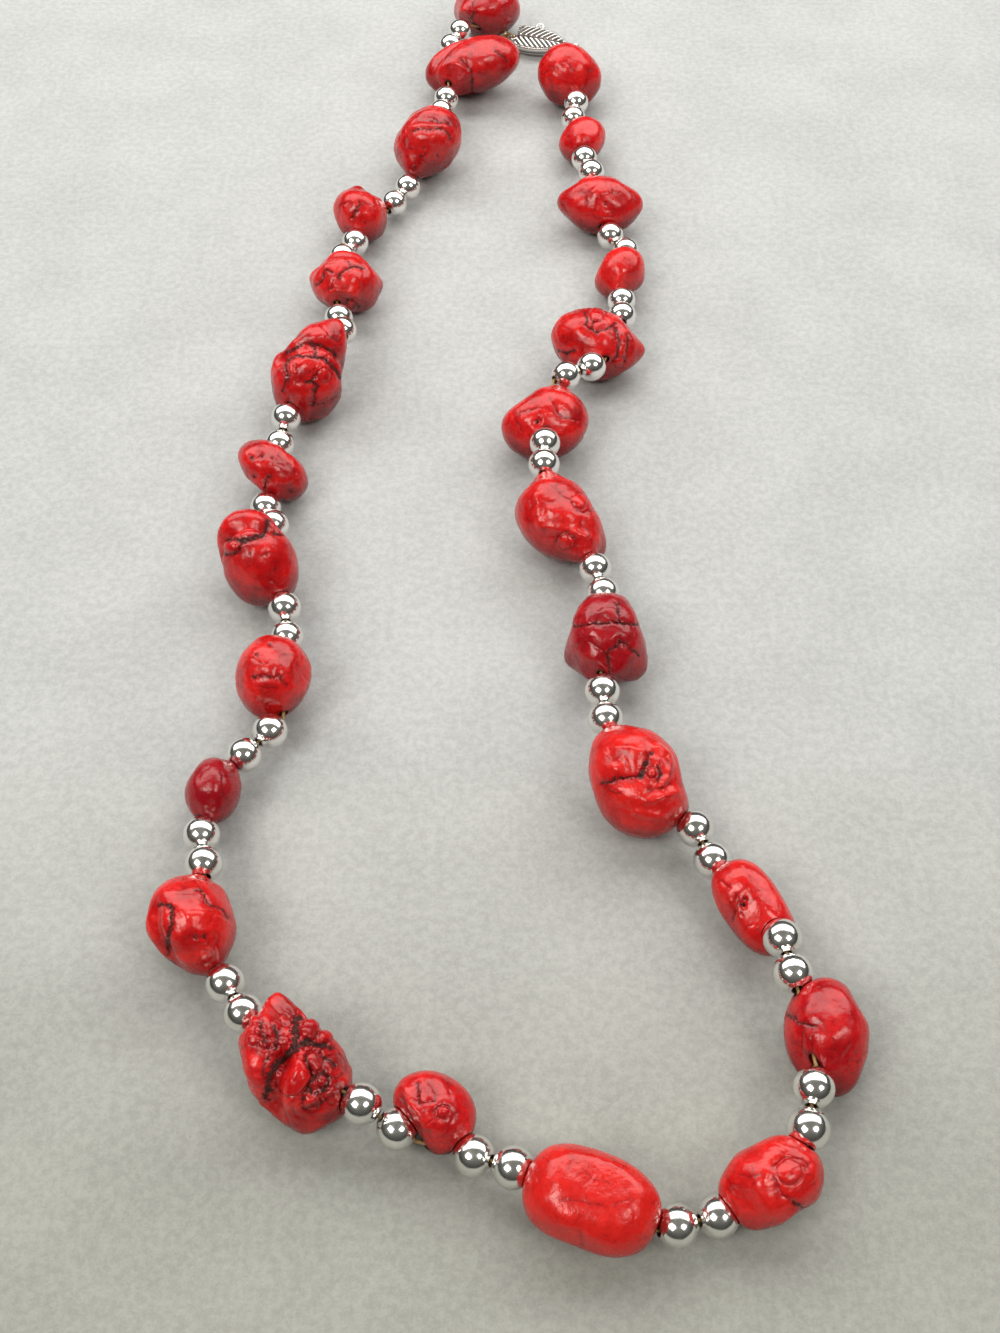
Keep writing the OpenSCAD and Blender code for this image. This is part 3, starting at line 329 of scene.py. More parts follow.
# Pits and pebbles on the seen face: stone, right, above, size, rise (less than 0 for a pit),
# and how brown its filling is.
PITS = [
    (3, 1, 0.3, 0.4, -0.15, 0.3), (5, -1.3, 3.2, 0.5, 0.25, 0), (5, 4.1, -2.8, 0.8, 0.3, 0),
    (5, -0.2, 5.2, 1.2, 0.3, 0),
    (6, -1.1, 0.2, 0.9, -0.4, 0.2), (7, 1.1, -2.9, 1.1, 0.35, 0), (7, 3, 3.4, 1.1, 0.2, 0),
    (8, 2.1, 0.2, 0.5, -0.2, 0.6),
    (9, 1.6, 1.8, 0.6, 0.35, 0), (9, -3.2, 0.2, 0.35, -0.2, 0.8), (9, -2.2, 0.6, 0.3, -0.2, 0.8),
    (10, -1.25, -0.25, 0.55, -0.35, 1), (10, -1.1, 0.6, 0.35, -0.2, 0.6),
    (12, 1.6, 1.7, 1.3, 0.2, 0), (14, 1, -0.3, 0.6, 0.12, 0), (21, 2.2, -0.6, 1, 0.25, 0),
    (15, 2.7, 3.3, 1, 0.5, 0), (15, 4.4, 2, 0.7, 0.3, 0), (15, 0.4, 5.5, 0.75, 0.35, 0),
    (15, -0.8, 4.9, 0.55, 0.3, 0), (15, 1.5, 6.8, 0.8, 0.3, 0), (15, -1.8, 4.2, 0.5, 0.3, 0),
    (15, -0.7, 2.9, 0.7, 0.4, 0), (15, -2.9, 4.7, 0.6, 0.3, 0), (15, -2.9, 3.3, 0.6, 0.3, 0),
    (15, -1.7, 2, 0.6, 0.3, 0), (15, -3.3, 6.2, 0.6, 0.3, 0), (15, -4, 3.9, 0.6, 0.25, 0),
    (15, -0.5, -1.4, 1.9, 0.45, 0), (15, 2.5, -0.5, 1, 0.3, 0), (15, 4.6, -1.7, 1.1, 0.3, 0),
    (15, 2.8, -3, 0.65, 0.4, 0), (15, 1.15, -3.4, 0.5, -0.4, 1), (15, 0.9, -5, 0.9, 0.3, 0),
    (15, 3.5, -4.9, 0.9, 0.3, 0), (15, 2, 1.3, 0.5, 0.25, 0), (15, 3.2, 0.8, 0.5, 0.25, 0),
    (16, 0.2, -1.6, 0.4, -0.2, 0.5), (16, 1.1, -1.9, 0.4, -0.15, 0.3),
    (18, -1.6, 3.8, 0.5, -0.1, 0.1), (18, 0.5, 4.9, 0.5, -0.1, 0.1),
    (19, -3.7, 2.5, 1.1, 0.5, 0), (19, -0.9, 1.1, 0.4, -0.12, 0.2), (19, 1.2, 0.6, 0.4, -0.1, 0.1),
    (20, -2.9, 2.6, 0.6, -0.15, 0.4), (20, -1.4, 2.8, 0.4, -0.12, 0.3), (20, 0.35, 2.2, 0.4, -0.12, 0.3),
    (20, -2.9, -0.2, 0.5, -0.15, 0.3), (20, 2.4, -3.3, 1, -0.15, 0.3),
    (21, -3.2, 0.9, 0.8, 0.2, 0), (21, 2.6, 3.1, 0.7, 0.2, 0), (21, 0.2, -2.8, 0.6, -0.2, 0.5),
    (22, 0.5, -3.6, 0.55, 0.3, 0), (22, -3, -0.7, 0.45, -0.12, 0.2),
    (23, 0.6, -1.2, 0.45, -0.15, 0.2),
    (24, -3.3, -0.3, 0.4, -0.15, 0.4), (24, -0.7, -0.3, 0.4, -0.12, 0.3),
    (24, -0.5, -1.3, 0.4, -0.15, 0.3), (24, -1.4, -1.9, 0.5, -0.15, 0.4),
    (24, 1.9, -1.8, 0.4, -0.12, 0.2), (24, -0.2, -3.4, 0.5, -0.12, 0.2),
    (24, -4.1, -1.6, 0.4, -0.12, 0.4), (24, -2.9, -3.9, 0.6, -0.3, 1),
]


# Small helpers
def unit(v):
    v = np.asarray(v, float)
    return v / np.linalg.norm(v, axis=-1, keepdims=True)


def smooth_step(low, high, value):
    share = np.clip((value - low) / (high - low), 0, 1)
    return share * share * (3 - 2 * share)


def around(count):
    """Angles spread evenly over a full turn."""
    return np.arange(count) * 2 * pi / count


def circle(turn, u, v):
    """Points at these angles on the unit circle in the plane of u and v."""
    return np.cos(turn)[:, None] * u + np.sin(turn)[:, None] * v


def side_axes(way):
    """Two directions square to the way and to each other."""
    first = unit(np.cross(way, [0, 0, 1] if abs(way[2]) < 0.9 else [1, 0, 0]))
    return first, np.cross(way, first)


LATTICE = np.random.default_rng(SEED).permutation(256)
SLOPES = unit(np.random.default_rng(SEED + 1).normal(size=(256, 3)))
NOISE_GAIN = 1.6


def noise(points):
    """Smooth noise from about -1 to 1 with waves about 1 unit long."""
    cell = np.floor(points).astype(int)
    inside = points - cell
    weight = inside ** 3 * (inside * (inside * 6 - 15) + 10)
    result = np.zeros(len(points))
    for corner in np.ndindex(2, 2, 2):
        key = LATTICE[(cell[:, 0] + corner[0]) & 255]
        key = LATTICE[(key + cell[:, 1] + corner[1]) & 255]
        key = LATTICE[(key + cell[:, 2] + corner[2]) & 255]
        share = np.prod(np.where(corner, weight, 1 - weight), axis=1)
        result += share * np.sum(SLOPES[key] * (inside - corner), axis=1)
    return result * NOISE_GAIN


def mesh_object(name, points, faces, material=None):
    """A smooth-shaded mesh from points in mm in the chart's frame."""
    mesh = bpy.data.meshes.new(name)
    mesh.from_pydata((points + TO_ORIGIN) * MM, [], faces)
    mesh.validate()
    mesh.shade_smooth()
    obj = bpy.data.objects.new(name, mesh)
    bpy.context.scene.collection.objects.link(obj)
    if material:
        mesh.materials.append(material)
    return obj


def set_attribute(mesh, name, values):
    layer = mesh.attributes.new(name, "FLOAT", "POINT")
    layer.data.foreach_set("value", np.asarray(values, np.float32))


def mesh_points(mesh):
    """The mesh's points in mm in the chart's frame."""
    co = np.zeros(len(mesh.vertices) * 3, np.float32)
    mesh.vertices.foreach_get("co", co)
    return co.reshape(-1, 3).astype(float) / MM - TO_ORIGIN


def ring_faces(rings, sides):
    """Quads between rings of points, with the last ring joined to the first."""
    faces = []
    for r in range(rings):
        next_r = (r + 1) % rings
        for s in range(sides):
            t = (s + 1) % sides
            faces.append((r * sides + s, r * sides + t, next_r * sides + t, next_r * sides + s))
    return faces


def tube_faces(rings, sides):
    """Quads between rings of points, and a cap on the first and the last ring."""
    quads = ring_faces(rings, sides)[:(rings - 1) * sides]
    first = range(sides)
    last = range((rings - 1) * sides, rings * sides)
    return quads + [tuple(reversed(first)), tuple(last)]


def rod(name, a, b, radius, sides=24):
    ring = radius * circle(around(sides), *side_axes(unit(b - a)))
    return mesh_object(name, np.concatenate([a + ring, b + ring]), tube_faces(2, sides))


@lru_cache
def ball_grid(n):
    """Directions and quads of a cube's six grids blown up to a ball."""
    step = np.tan(np.linspace(-pi / 4, pi / 4, n + 1))
    keys, points, quads = {}, [], []
    for axis in range(3):
        for end in (0, n):
            index = np.zeros((n + 1, n + 1), int)
            for i, j in np.ndindex(index.shape):
                at = tuple(np.roll([end, i, j], axis))
                if at not in keys:
                    keys[at] = len(points)
                    points.append(step[list(at)])
                index[i, j] = keys[at]
            quad = (index[:-1, :-1], index[1:, :-1], index[1:, 1:], index[:-1, 1:])
            if not end:
                quad = quad[::-1]
            quads.append(np.stack(quad, -1).reshape(-1, 4))
    return unit(points), np.concatenate(quads)


def ball(name, middle, radius):
    directions, quads = ball_grid(BALL_FINE)
    return mesh_object(name, middle + directions * radius, quads.tolist())


def wire_ring(name, middle, u, v, rings=48, sides=16):
    """A round ring of wire in the plane of u and v."""
    section = around(sides)
    out = circle(around(rings), u, v)
    reach = RING_R + RING_WIRE_D / 2 * np.cos(section)
    points = (middle + out[:, None, :] * reach[None, :, None]
              + np.cross(u, v) * (RING_WIRE_D / 2 * np.sin(section))[None, :, None])
    return mesh_object(name, points.reshape(-1, 3), ring_faces(rings, sides))


def carve(obj, cutters):
    """Takes the cutters out of the object, then drops them."""
    for cutter in cutters:
        cut = obj.modifiers.new("cut", "BOOLEAN")
        cut.operation = "DIFFERENCE"
        cut.solver = "MANIFOLD"
        cut.object = cutter
    bpy.context.view_layer.update()
    done = bpy.data.meshes.new_from_object(obj.evaluated_get(bpy.context.evaluated_depsgraph_get()))
    old = obj.data
    obj.modifiers.clear()
    obj.data = done
    done.name = old.name
    bpy.data.meshes.remove(old)
    for cutter in cutters:
        mesh = cutter.data
        bpy.data.objects.remove(cutter)
        bpy.data.meshes.remove(mesh)


def joined(objects):
    """The objects as one, under the first one's name."""
    with bpy.context.temp_override(active_object=objects[0], selected_editable_objects=objects,
                                   selected_objects=objects, object=objects[0]):
        bpy.ops.object.join()
    return objects[0]


def wear(mesh, material):
    """Gives the mesh this one material."""
    mesh.materials.clear()
    mesh.materials.append(material)


def keep_edges(mesh, least_angle):
    """Smooth shading but for edges of at least this angle in degrees."""
    mesh.shade_smooth()
    mesh.set_sharp_from_angle(angle=radians(least_angle))


def dress(piece, node):
    """Ties a piece to the body and hides the solid that it replaces."""
    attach(piece, "root")
    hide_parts(node)


# The string's line
STONES = [dict(zip(STONE_COLUMNS, row)) for row in STONE_ROWS]
LAST = len(STONES) - 1


def sighted(x, y, z, new_z):
    """A charted point moved along the line of sight to another height."""
    point = np.array([x, y, z], float)
    return CHART_EYE + (point - CHART_EYE) * (CHART_EYE[2] - new_z) / (CHART_EYE[2] - z)


def charted_end(i, end):
    """Where the charted string goes "in" to stone i or comes "out" of it."""
    s = STONES[i]
    return sighted(s[end + "_x"], s[end + "_y"], s["z"], s[end + "_z"])


def pair_way(i):
    return unit(charted_end(i + 1, "in") - charted_end(i, "out"))


def pair_place(i, steps):
    """A place on the string between stones i and i + 1, counted in beads from their middle."""
    middle = (charted_end(i, "out") + charted_end(i + 1, "in")) / 2
    return middle + pair_way(i) * steps * (BEAD_D + BEAD_GAP)


def pair_bead(i, side):
    return pair_place(i, side / 2)


def hole_ends(i):
    """Both ends of stone i's hole."""
    start = pair_place(i - 1, 1) if i else charted_end(0, "in")
    end = pair_place(i, -1) if i < LAST else charted_end(i, "out")
    return start, end


CLASP_WAY = unit(CLASP_TIP - CLASP_MOUTH)
RING_LEFT = CLASP_MOUTH - CLASP_WAY * MOUTH_TO_RING
RING_RIGHT = CLASP_MOUTH + CLASP_WAY * (CLASP_LEN + TIP_TO_RING)
LEVEL = np.array([1, 1, 0])
RIGHT_WAY = unit((RING_RIGHT - hole_ends(0)[0]) * LEVEL)
LEFT_WAY = unit((RING_LEFT - hole_ends(LAST)[1]) * LEVEL)


# Materials
class Nodes:
    """Short ways to build the node tree of a material or a world, with lengths in millimetres."""

    def __init__(self, owner):
        owner.use_nodes = True
        self.owner = owner
        self.tree = owner.node_tree
        self.coords = self.node("TexCoord").outputs

    @cached_property
    def place(self):
        """The place on the object in millimetres."""
        inputs = {0: self.coords["Object"], "Scale": 1 / MM}
        return self.node("VectorMath", inputs, operation="SCALE").outputs[0]

    def feed(self, socket, value):
        if isinstance(value, bpy.types.NodeSocket):
            self.tree.links.new(value, socket)
        else:
            socket.default_value = value

    def node(self, kind, inputs=None, **settings):
        made = self.tree.nodes.new("ShaderNode" + kind)
        for key, value in settings.items():
            setattr(made, key, value)
        for key, value in (inputs or {}).items():
            self.feed(made.inputs[key], value)
        return made

    def noise(self, scale, detail=4, rough=0.55, warp=0.0, offset=0.0):
        place = self.place
        if offset:
            shift = (offset, offset * 1.7, -offset)
            place = self.node("VectorMath", {0: place, 1: shift}, operation="ADD").outputs[0]
        made = self.node("TexNoise", {"Vector": place, "Scale": scale, "Detail": detail,
                                      "Roughness": rough, "Distortion": warp})
        return made.outputs["Fac"]

    def edges(self, scale, bend):
        """Distance to the borders of bent cells."""
        wave = self.node("TexNoise", {"Vector": self.place, "Scale": scale * 1.6, "Detail": 3})
        push = self.node("VectorMath", {0: wave.outputs["Color"], 1: (bend,) * 3, 2: self.place},
                         operation="MULTIPLY_ADD")
        cells = self.node("TexVoronoi", {"Vector": push.outputs[0], "Scale": scale},
                          feature="DISTANCE_TO_EDGE")
        return cells.outputs["Distance"]

    def attribute(self, name):
        return self.node("Attribute", attribute_name=name).outputs["Fac"]

    def math(self, operation, a, b, clamp=False):
        return self.node("Math", {0: a, 1: b}, operation=operation, use_clamp=clamp).outputs[0]

    def times(self, a, b, clamp=False):
        return self.math("MULTIPLY", a, b, clamp)

    def plus(self, a, b, clamp=False):
        return self.math("ADD", a, b, clamp)

    def larger(self, a, b):
        return self.math("MAXIMUM", a, b)

    def ramp(self, value, low, high, out_low=0.0, out_high=1.0):
        made = self.node("MapRange", {"Value": value, "From Min": low, "From Max": high,
                                      "To Min": out_low, "To Max": out_high},
                         interpolation_type="SMOOTHSTEP")
        return made.outputs["Result"]

    def mix(self, share, a, b):
        a, b = ((*color, 1) if isinstance(color, tuple) else color for color in (a, b))
        return self.node("Mix", {"Factor": share, 6: a, 7: b}, data_type="RGBA").outputs[2]

    def bump(self, height, distance, strength=1.0, before=None):
        inputs = {"Height": height, "Distance": distance * MM, "Strength": strength}
        if before:
            inputs["Normal"] = before
        return self.node("Bump", inputs).outputs["Normal"]

    def finish(self, inputs, shader="Principled BSDF"):
        """The material or world, with these inputs of its shader."""
        for key, value in inputs.items():
            self.feed(self.tree.nodes[shader].inputs[key], value)
        return self.owner


def material_nodes(name):
    return Nodes(bpy.data.materials.new(name))


def stone_material():
    n = material_nodes("red_stone")
    tint, dark, low = n.attribute("tint"), n.attribute("dark"), n.attribute("low")
    jag = n.math("SUBTRACT", n.noise(2.2, 5, 0.75, offset=41), 0.5)
    line = n.plus(n.attribute("line"), n.times(jag, 0.8))
    cloud = n.ramp(n.noise(0.32, 3), 0.35, 0.68)
    grain = n.ramp(n.noise(1.5, 5, 0.7, offset=9), 0.36, 0.68)
    # Painted shade on the stone's underside, broken up by noise
    wear_and_under_shade = n.times(n.attribute("painted_under_shade"), n.ramp(n.noise(1.1, 4, 0.7, offset=23), 0.25, 0.6, 0.45, 1))
    halo = n.times(n.ramp(line, 0.0, 0.6, 0.75, 0), dark)
    veins = n.times(n.ramp(n.edges(0.34, 2.2), 0.0, 0.045, 1, 0),
                    n.ramp(n.noise(0.22, 2, offset=31), 0.48, 0.62))
    flecks = n.ramp(n.noise(2.6, 3, 0.7, offset=17), 0.62, 0.72)
    gaps = n.ramp(n.noise(0.9, 4, 0.7, offset=52), 0.40, 0.56, 0.1, 1)
    core = n.times(n.times(n.ramp(line, -0.03, 0.08, 1, 0), dark), gaps)
    # Near-black painted shade in the stone's hole, laid with the dark cores of the cracks
    core = n.larger(core, n.times(n.attribute("mouth"), 0.8))
    red = n.mix(cloud, (0.60, 0.004, 0.006), (0.82, 0.014, 0.012))
    # Laid over the red one after another: how much, and the colour
    for share, color in (
        (n.times(grain, 0.6), (0.36, 0.001, 0.003)),
        (wear_and_under_shade, (0.12, 0.0004, 0.001)),
        # Painted shade in the relief's hollows, then a painted highlight on its rises
        (n.times(low, 0.6, clamp=True), (0.20, 0.001, 0.002)),
        (n.times(low, -0.35, clamp=True), (0.74, 0.018, 0.014)),
        (n.times(tint, -0.75, clamp=True), (0.20, 0.001, 0.009)),
        (n.times(tint, 0.9, clamp=True), (0.70, 0.022, 0.014)),
        (halo, (0.22, 0.002, 0.004)),
        (n.times(veins, 0.5), (0.13, 0.002, 0.004)),
        (n.times(flecks, 0.55), (0.10, 0.001, 0.002)),
        (core, (0.055, 0.003, 0.003)),
    ):
        red = n.mix(share, red, color)
    crumbs = n.noise(2.4, 3, 0.7, offset=5)
    filling = n.mix(n.ramp(crumbs, 0.42, 0.62), (0.016, 0.006, 0.004), (0.15, 0.022, 0.012))
    brown = n.ramp(n.plus(n.attribute("inside"), n.times(jag, 3.4)), 0.02, 0.16)
    brown = n.times(brown, n.ramp(n.noise(0.75, 4, 0.7, offset=77), 0.38, 0.52, 0.25, 1))
    shine = n.ramp(n.noise(0.9, 4, offset=3), 0.3, 0.7, 0.17, 0.31)
    dull = n.larger(n.times(core, 0.6), brown)
    sunk = n.bump(n.times(brown, crumbs), 0.9)
    ripple = n.bump(n.noise(0.75, 3, 0.5, offset=12), 0.16, 0.8, sunk)
    return n.finish({"Base Color": n.mix(brown, red, filling),
                     "Roughness": n.larger(shine, n.times(dull, 0.7)), "IOR": 1.5,
                     "Normal": n.bump(n.noise(3.2, 2, 0.5), 0.02, 0.5, ripple)})


def bead_material():
    n = material_nodes("silver_bead")
    mouth = n.attribute("mouth")
    cloud = n.ramp(n.noise(0.5, 4, offset=2), 0.35, 0.7)
    silver = n.mix(cloud, (0.90, 0.885, 0.86), (0.80, 0.78, 0.75))
    smear = n.ramp(n.noise(1.1, 5, 0.7, 0.6, offset=7), 0.35, 0.75, 0.13, 0.22)
    return n.finish({"Base Color": n.mix(mouth, silver, (0.16, 0.11, 0.06)), "Metallic": 1.0,
                     "Roughness": n.larger(smear, n.times(mouth, 0.5)),
                     "Normal": n.bump(n.noise(0.55, 2, offset=21), 0.06, 0.6)})


def clasp_material():
    n = material_nodes("clasp_silver")
    cloud = n.noise(1.2, 4, 0.7, offset=4)
    stain = n.larger(n.attribute("deep"), n.times(n.ramp(cloud, 0.55, 0.8), 0.35))
    return n.finish({"Base Color": n.mix(stain, (0.86, 0.85, 0.82), (0.07, 0.06, 0.05)),
                     "Metallic": 1.0, "Roughness": n.ramp(stain, 0, 1, 0.15, 0.5),
                     "Normal": n.bump(n.noise(2.2, 4, 0.6), 0.05, 0.5)})


def clouded_material(name, metallic, cloud_scale, colors, roughness, bump_scale, bump_depth):
    """Two colours in clouds, with a roughness that goes with them and small bumps."""
    n = material_nodes(name)
    cloud = n.ramp(n.noise(cloud_scale, 4, 0.7), 0.3, 0.7)
    return n.finish({"Base Color": n.mix(cloud, *colors), "Metallic": metallic,
                     "Roughness": n.ramp(cloud, 0, 1, *roughness),
                     "Normal": n.bump(n.noise(bump_scale, 3), bump_depth, 0.6)})


def floor_material():
    """A pale ground, a little darker towards the eye by a painted falloff of the light."""
    n = material_nodes("pale_floor")
    # Painted falloff of the light: the ground darkens towards the eye
    painted_light_falloff = n.ramp(n.node("SeparateXYZ", {0: n.place}).outputs["Y"], -140, -45)
    broad = n.ramp(n.noise(0.05, 3), 0.3, 0.7, 0, 0.25)
    fine = n.ramp(n.noise(0.8, 6, 0.8), 0.36, 0.64)
    ground = n.mix(painted_light_falloff, (0.374, 0.375, 0.345), (0.505, 0.506, 0.504))
    speck = n.mix(painted_light_falloff, (0.262, 0.263, 0.240), (0.355, 0.355, 0.353))
    specks = n.plus(n.times(fine, 0.55), broad, clamp=True)
    return n.finish({"Base Color": n.mix(specks, ground, speck), "Roughness": 0.9,
                     "Specular IOR Level": 0.15, "Normal": n.bump(n.noise(2.6, 4, 0.7), 0.25, 0.35)})


# Stones
def charted(clock, tilt):
    """The direction at this clock angle round the view, tilted towards the eye."""
    c, t = radians(clock), radians(tilt)
    return np.array([cos(t) * cos(c), cos(t) * sin(c), sin(t)])


def angle_to(directions, target):
    gap = np.linalg.norm(directions - target, axis=-1) / 2
    return 2 * np.degrees(np.arcsin(np.minimum(1, gap)))


def crease_angle(n, a, b):
    """Angle from each direction to the arc from a to b."""
    pole = unit(np.cross(a, b))
    foot = unit(n - pole * (n @ pole)[:, None])
    inside = (np.cross(a, foot) @ pole >= 0) & (np.cross(foot, b) @ pole >= 0)
    return np.where(inside, np.abs(90 - angle_to(n, pole)), np.minimum(angle_to(n, a), angle_to(n, b)))


def run_distance(at, a, b):
    """Distance from each place to the straight run from a to b."""
    run = b - a
    share = np.clip(((at - a) @ run) / (run @ run), 0, 1)
    return np.linalg.norm(at - a - share[:, None] * run, axis=1)


def path_distance(at, path):
    path = np.asarray(path, float)
    return np.min([run_distance(at, a, b) for a, b in zip(path[:-1], path[1:])], axis=0)


class Marks:
    """Fine relief at the points of a stone: its depth, and what the colours need there."""
    FAR = 4.0
    # A crack has a steep edge and soft shoulders: shares of its depth, and reaches
    EDGE_SHARE = 0.5
    EDGE_REACH = 0.15
    SHOULDER_SHARE = 0.6
    SHOULDER_REACH = 2.2
    # Its darkness: that of the shallowest, the growth with the depth, and the reach
    LEAST_DARK = 0.4
    DARK_GROWTH = 2.2
    DARK_REACH = 0.6
    # A pebble's reach in its own sizes, and the groove round it
    PEBBLE_REACH = 1.15
    RIM_DEPTH = 0.12
    RIM_W = 0.16
    RIM_DARK_REACH = 0.4
    PIT_DARK = 0.75
    # The lines on the sides that the photo doesn't show
    WILD_DEPTH = 0.28
    WILD_W = 0.28
    WILD_DARK_REACH = 0.5

    def __init__(self, points, at, front):
        self.at = at
        self.front = front
        self.away = (1 - front) * self.FAR
        # How ragged the borders of the fillings are
        self.uneven = 1 + 0.9 * noise(points / 0.8 + 60) + 0.5 * noise(points / 0.35 - 20)
        self.depth = np.zeros(len(points))
        # How dark the lines are, the distance to the nearest one, and how far inside a brown filling
        self.dark = np.zeros(len(points))
        self.line = np.full(len(points), self.FAR)
        self.inside = np.full(len(points), -self.FAR)

    def darken(self, line, dark):
        self.line = np.minimum(self.line, line)
        self.dark = np.maximum(self.dark, dark)

    def crack(self, shoulder, deep, half, path):
        far = path_distance(self.at, path) + self.away
        past = np.maximum(0, far - half * self.uneven)
        edge = self.EDGE_SHARE * np.exp(-past / self.EDGE_REACH)
        slope = self.SHOULDER_SHARE * np.exp(-(past / (shoulder * self.SHOULDER_REACH)) ** 2)
        self.depth = np.maximum(self.depth, deep * (edge + slope))
        dark = min(1, self.LEAST_DARK + deep * self.DARK_GROWTH)
        self.darken(past, dark * np.exp(-past / self.DARK_REACH))
        if half:
            self.inside = np.maximum(self.inside, half * self.uneven - far)

    def pebble(self, far, size, rise):
        reach = size * self.PEBBLE_REACH
        rim = np.abs(far - reach)
        self.depth = self.depth - rise * np.sqrt(np.maximum(0, 1 - (far / reach) ** 2))
        self.depth = self.depth + self.RIM_DEPTH * np.exp(-(rim / self.RIM_W) ** 2)
        self.darken(rim + 0.04, self.PIT_DARK * min(1, rise * 3) * np.exp(-rim / self.RIM_DARK_REACH))

    def pit(self, far, size, sink, brown):
        dome = np.exp(-(far / size) ** 2 * 1.6)
        self.depth = self.depth + sink * dome
        self.darken(np.maximum(0, far - size * 0.45), self.PIT_DARK * dome)
        if brown:
            self.inside = np.maximum(self.inside, size * 0.55 * self.uneven * brown - far)

    def pit_or_pebble(self, right, above, size, rise, brown):
        far = np.linalg.norm(self.at - (right, above), axis=1) + self.away
        if rise > 0:
            self.pebble(far, size, rise)
        else:
            self.pit(far, size, -rise, brown)

    def wild_lines(self, border, share):
        self.depth = self.depth + self.WILD_DEPTH * share * np.exp(-border / self.WILD_W)
        self.darken(border * 0.9 + 0.02, share * np.exp(-border / self.WILD_DARK_REACH))

    def ridge(self, half, rise, path):
        return rise * np.exp(-((path_distance(self.at, path) + self.away) / half) ** 2)


class Stone:
    """One nugget, in chart axes: right, up and towards the eye."""
    FACE_FINE = 56
    FACE_COARSE = 44
    # The stones nearest to the eye, which have the finer grid
    NEAR_EYE = range(8, 19)
    # How much the grid crowds towards the eye
    CROWDING = 0.35
    BEND = 0.2
    BEND_WAVE = 0.9
    FLAT_EDGE = 0.12
    FLAT_FACING = 0.3
    # Step to the neighbouring rays that give the oval's own direction
    NEARBY = 0.02
    # The seen face fades into the sides over this depth, either way
    FACE_FADE = 0.6
    # Invented flats: how many, tilts from and to, and how deep they are worn, from and to
    SPARE_FLATS = ((4, 35, 80, 0.05, 0.2), (4, -80, -35, 0.1, 0.35))
    # Bent cells on the sides that the photo doesn't show
    WILD_CELLS = 15
    WILD_TURN = 2.4
    WILD_JITTER = 0.25
    WILD_BEND = 0.22
    WILD_MM_PER_DEGREE = 0.05
    # How strong their borders are on a smooth stone's sides, what roughness adds, and on a rough face
    WILD_SIDES = 0.55
    WILD_ROUGH = 0.45
    WILD_FACE = 0.35
    # Grain: rise and length of its waves, and the place in the noise, which goes with the stone's number
    GRAIN = ((0.30, 3.4, 3), (0.07, 1.5, 0), (0.06, 0.7, 0))
    # Folds: rise, width in units of the noise, and length of their waves
    FOLD_RISE = 0.18
    FOLD_W = 0.07
    FOLD_WAVE = 3.3
    LEAST_ROUGH = 0.25
    # Relief at which the colour is darkest or palest: painted shade in the hollows, painted highlight on the
    # rises
    FULL_LOW = 0.16
    # The rod that cuts the hole runs this far past its ends
    HOLE_PAST = 6
    # Painted shade in the hole: its mouth darkens from the first to the second distance from its line
    MOUTH = (1.2, 0.6)
    # Painted shade: the underside's colour darkens between these slopes, up to this share
    UNDER = (0.35, -0.40)
    UNDER_SHARE = 0.95
    SHARP_ANGLE = 52

    def __init__(self, index):
        self.index = index
        self.row = STONES[index]
        self.number = index + 1
        self.middle = np.array([self.row["x"], self.row["y"], self.row["z"]], float)
        toward = unit(CHART_EYE - self.middle)
        right = unit(np.cross([0, 0, 1], toward))
        self.axes = np.array([right, np.cross(toward, right), toward])
        self.lift = 0.0

    def mine(self, table):
        return [row[1:] for row in table if row[0] == self.number]

    def oval_radius(self, n):
        s = self.row
        roll = radians(s["roll"])
        along = n[:, 0] * cos(roll) + n[:, 1] * sin(roll)
        across = n[:, 1] * cos(roll) - n[:, 0] * sin(roll)
        k = s["square"]
        return (np.abs(along / s["half_long"]) ** k + np.abs(across / s["half_short"]) ** k
                + np.abs(n[:, 2] / s["half_deep"]) ** k) ** (-1 / k)

    def charted_radius(self, n):
        radius = self.oval_radius(n)
        for clock, tilt, spread, rise in self.mine(LUMPS):
            radius = radius + rise * np.exp(-(angle_to(n, charted(clock, tilt)) / spread) ** 2)
        for clock_a, tilt_a, clock_b, tilt_b, width, depth in self.mine(CREASES):
            near = crease_angle(n, charted(clock_a, tilt_a), charted(clock_b, tilt_b)) / width
            radius = radius - depth * np.exp(-near ** 2)
        return radius

    def beads(self):
        """The middles of the beads beside the stone."""
        if self.index < LAST:
            yield pair_bead(self.index, -1)
        if self.index:
            yield pair_bead(self.index - 1, 1)

    def plain_radius(self, n):
        """The stone's radius, as in the part's source, with a neck to each bead beside it."""
        radius = self.charted_radius(n)
        for bead in self.beads():
            v = self.axes @ (bead - self.middle)
            way = unit(v)
            gap = np.linalg.norm(v) - BEAD_D / 2 + NECK_DEPTH - self.charted_radius(way[None])[0]
            rise = max(0.0, min(NECK_MOST, gap))
            radius = radius + rise * np.exp(-(angle_to(n, way) / NECK_SPREAD) ** 2)
        return radius

    def flats(self):
        """The charted flats, and a few smaller ones away from the outline."""
        dice = np.random.default_rng(SEED + 100 + self.number)
        some = self.mine(FLATS)
        for count, low, high, least, most in self.SPARE_FLATS:
            for _ in range(count):
                some.append((dice.uniform(0, 360), dice.uniform(low, high), dice.uniform(least, most)))
        return some

    def outward(self, way):
        """The oval's own direction where a ray leaves it, and the place."""
        u, v = side_axes(way)
        near = unit(np.array([way, way + self.NEARBY * u, way + self.NEARBY * v]))
        a, b, c = near * self.oval_radius(near)[:, None]
        face = unit(np.cross(b - a, c - a))
        return face if face @ way > 0 else -face, a

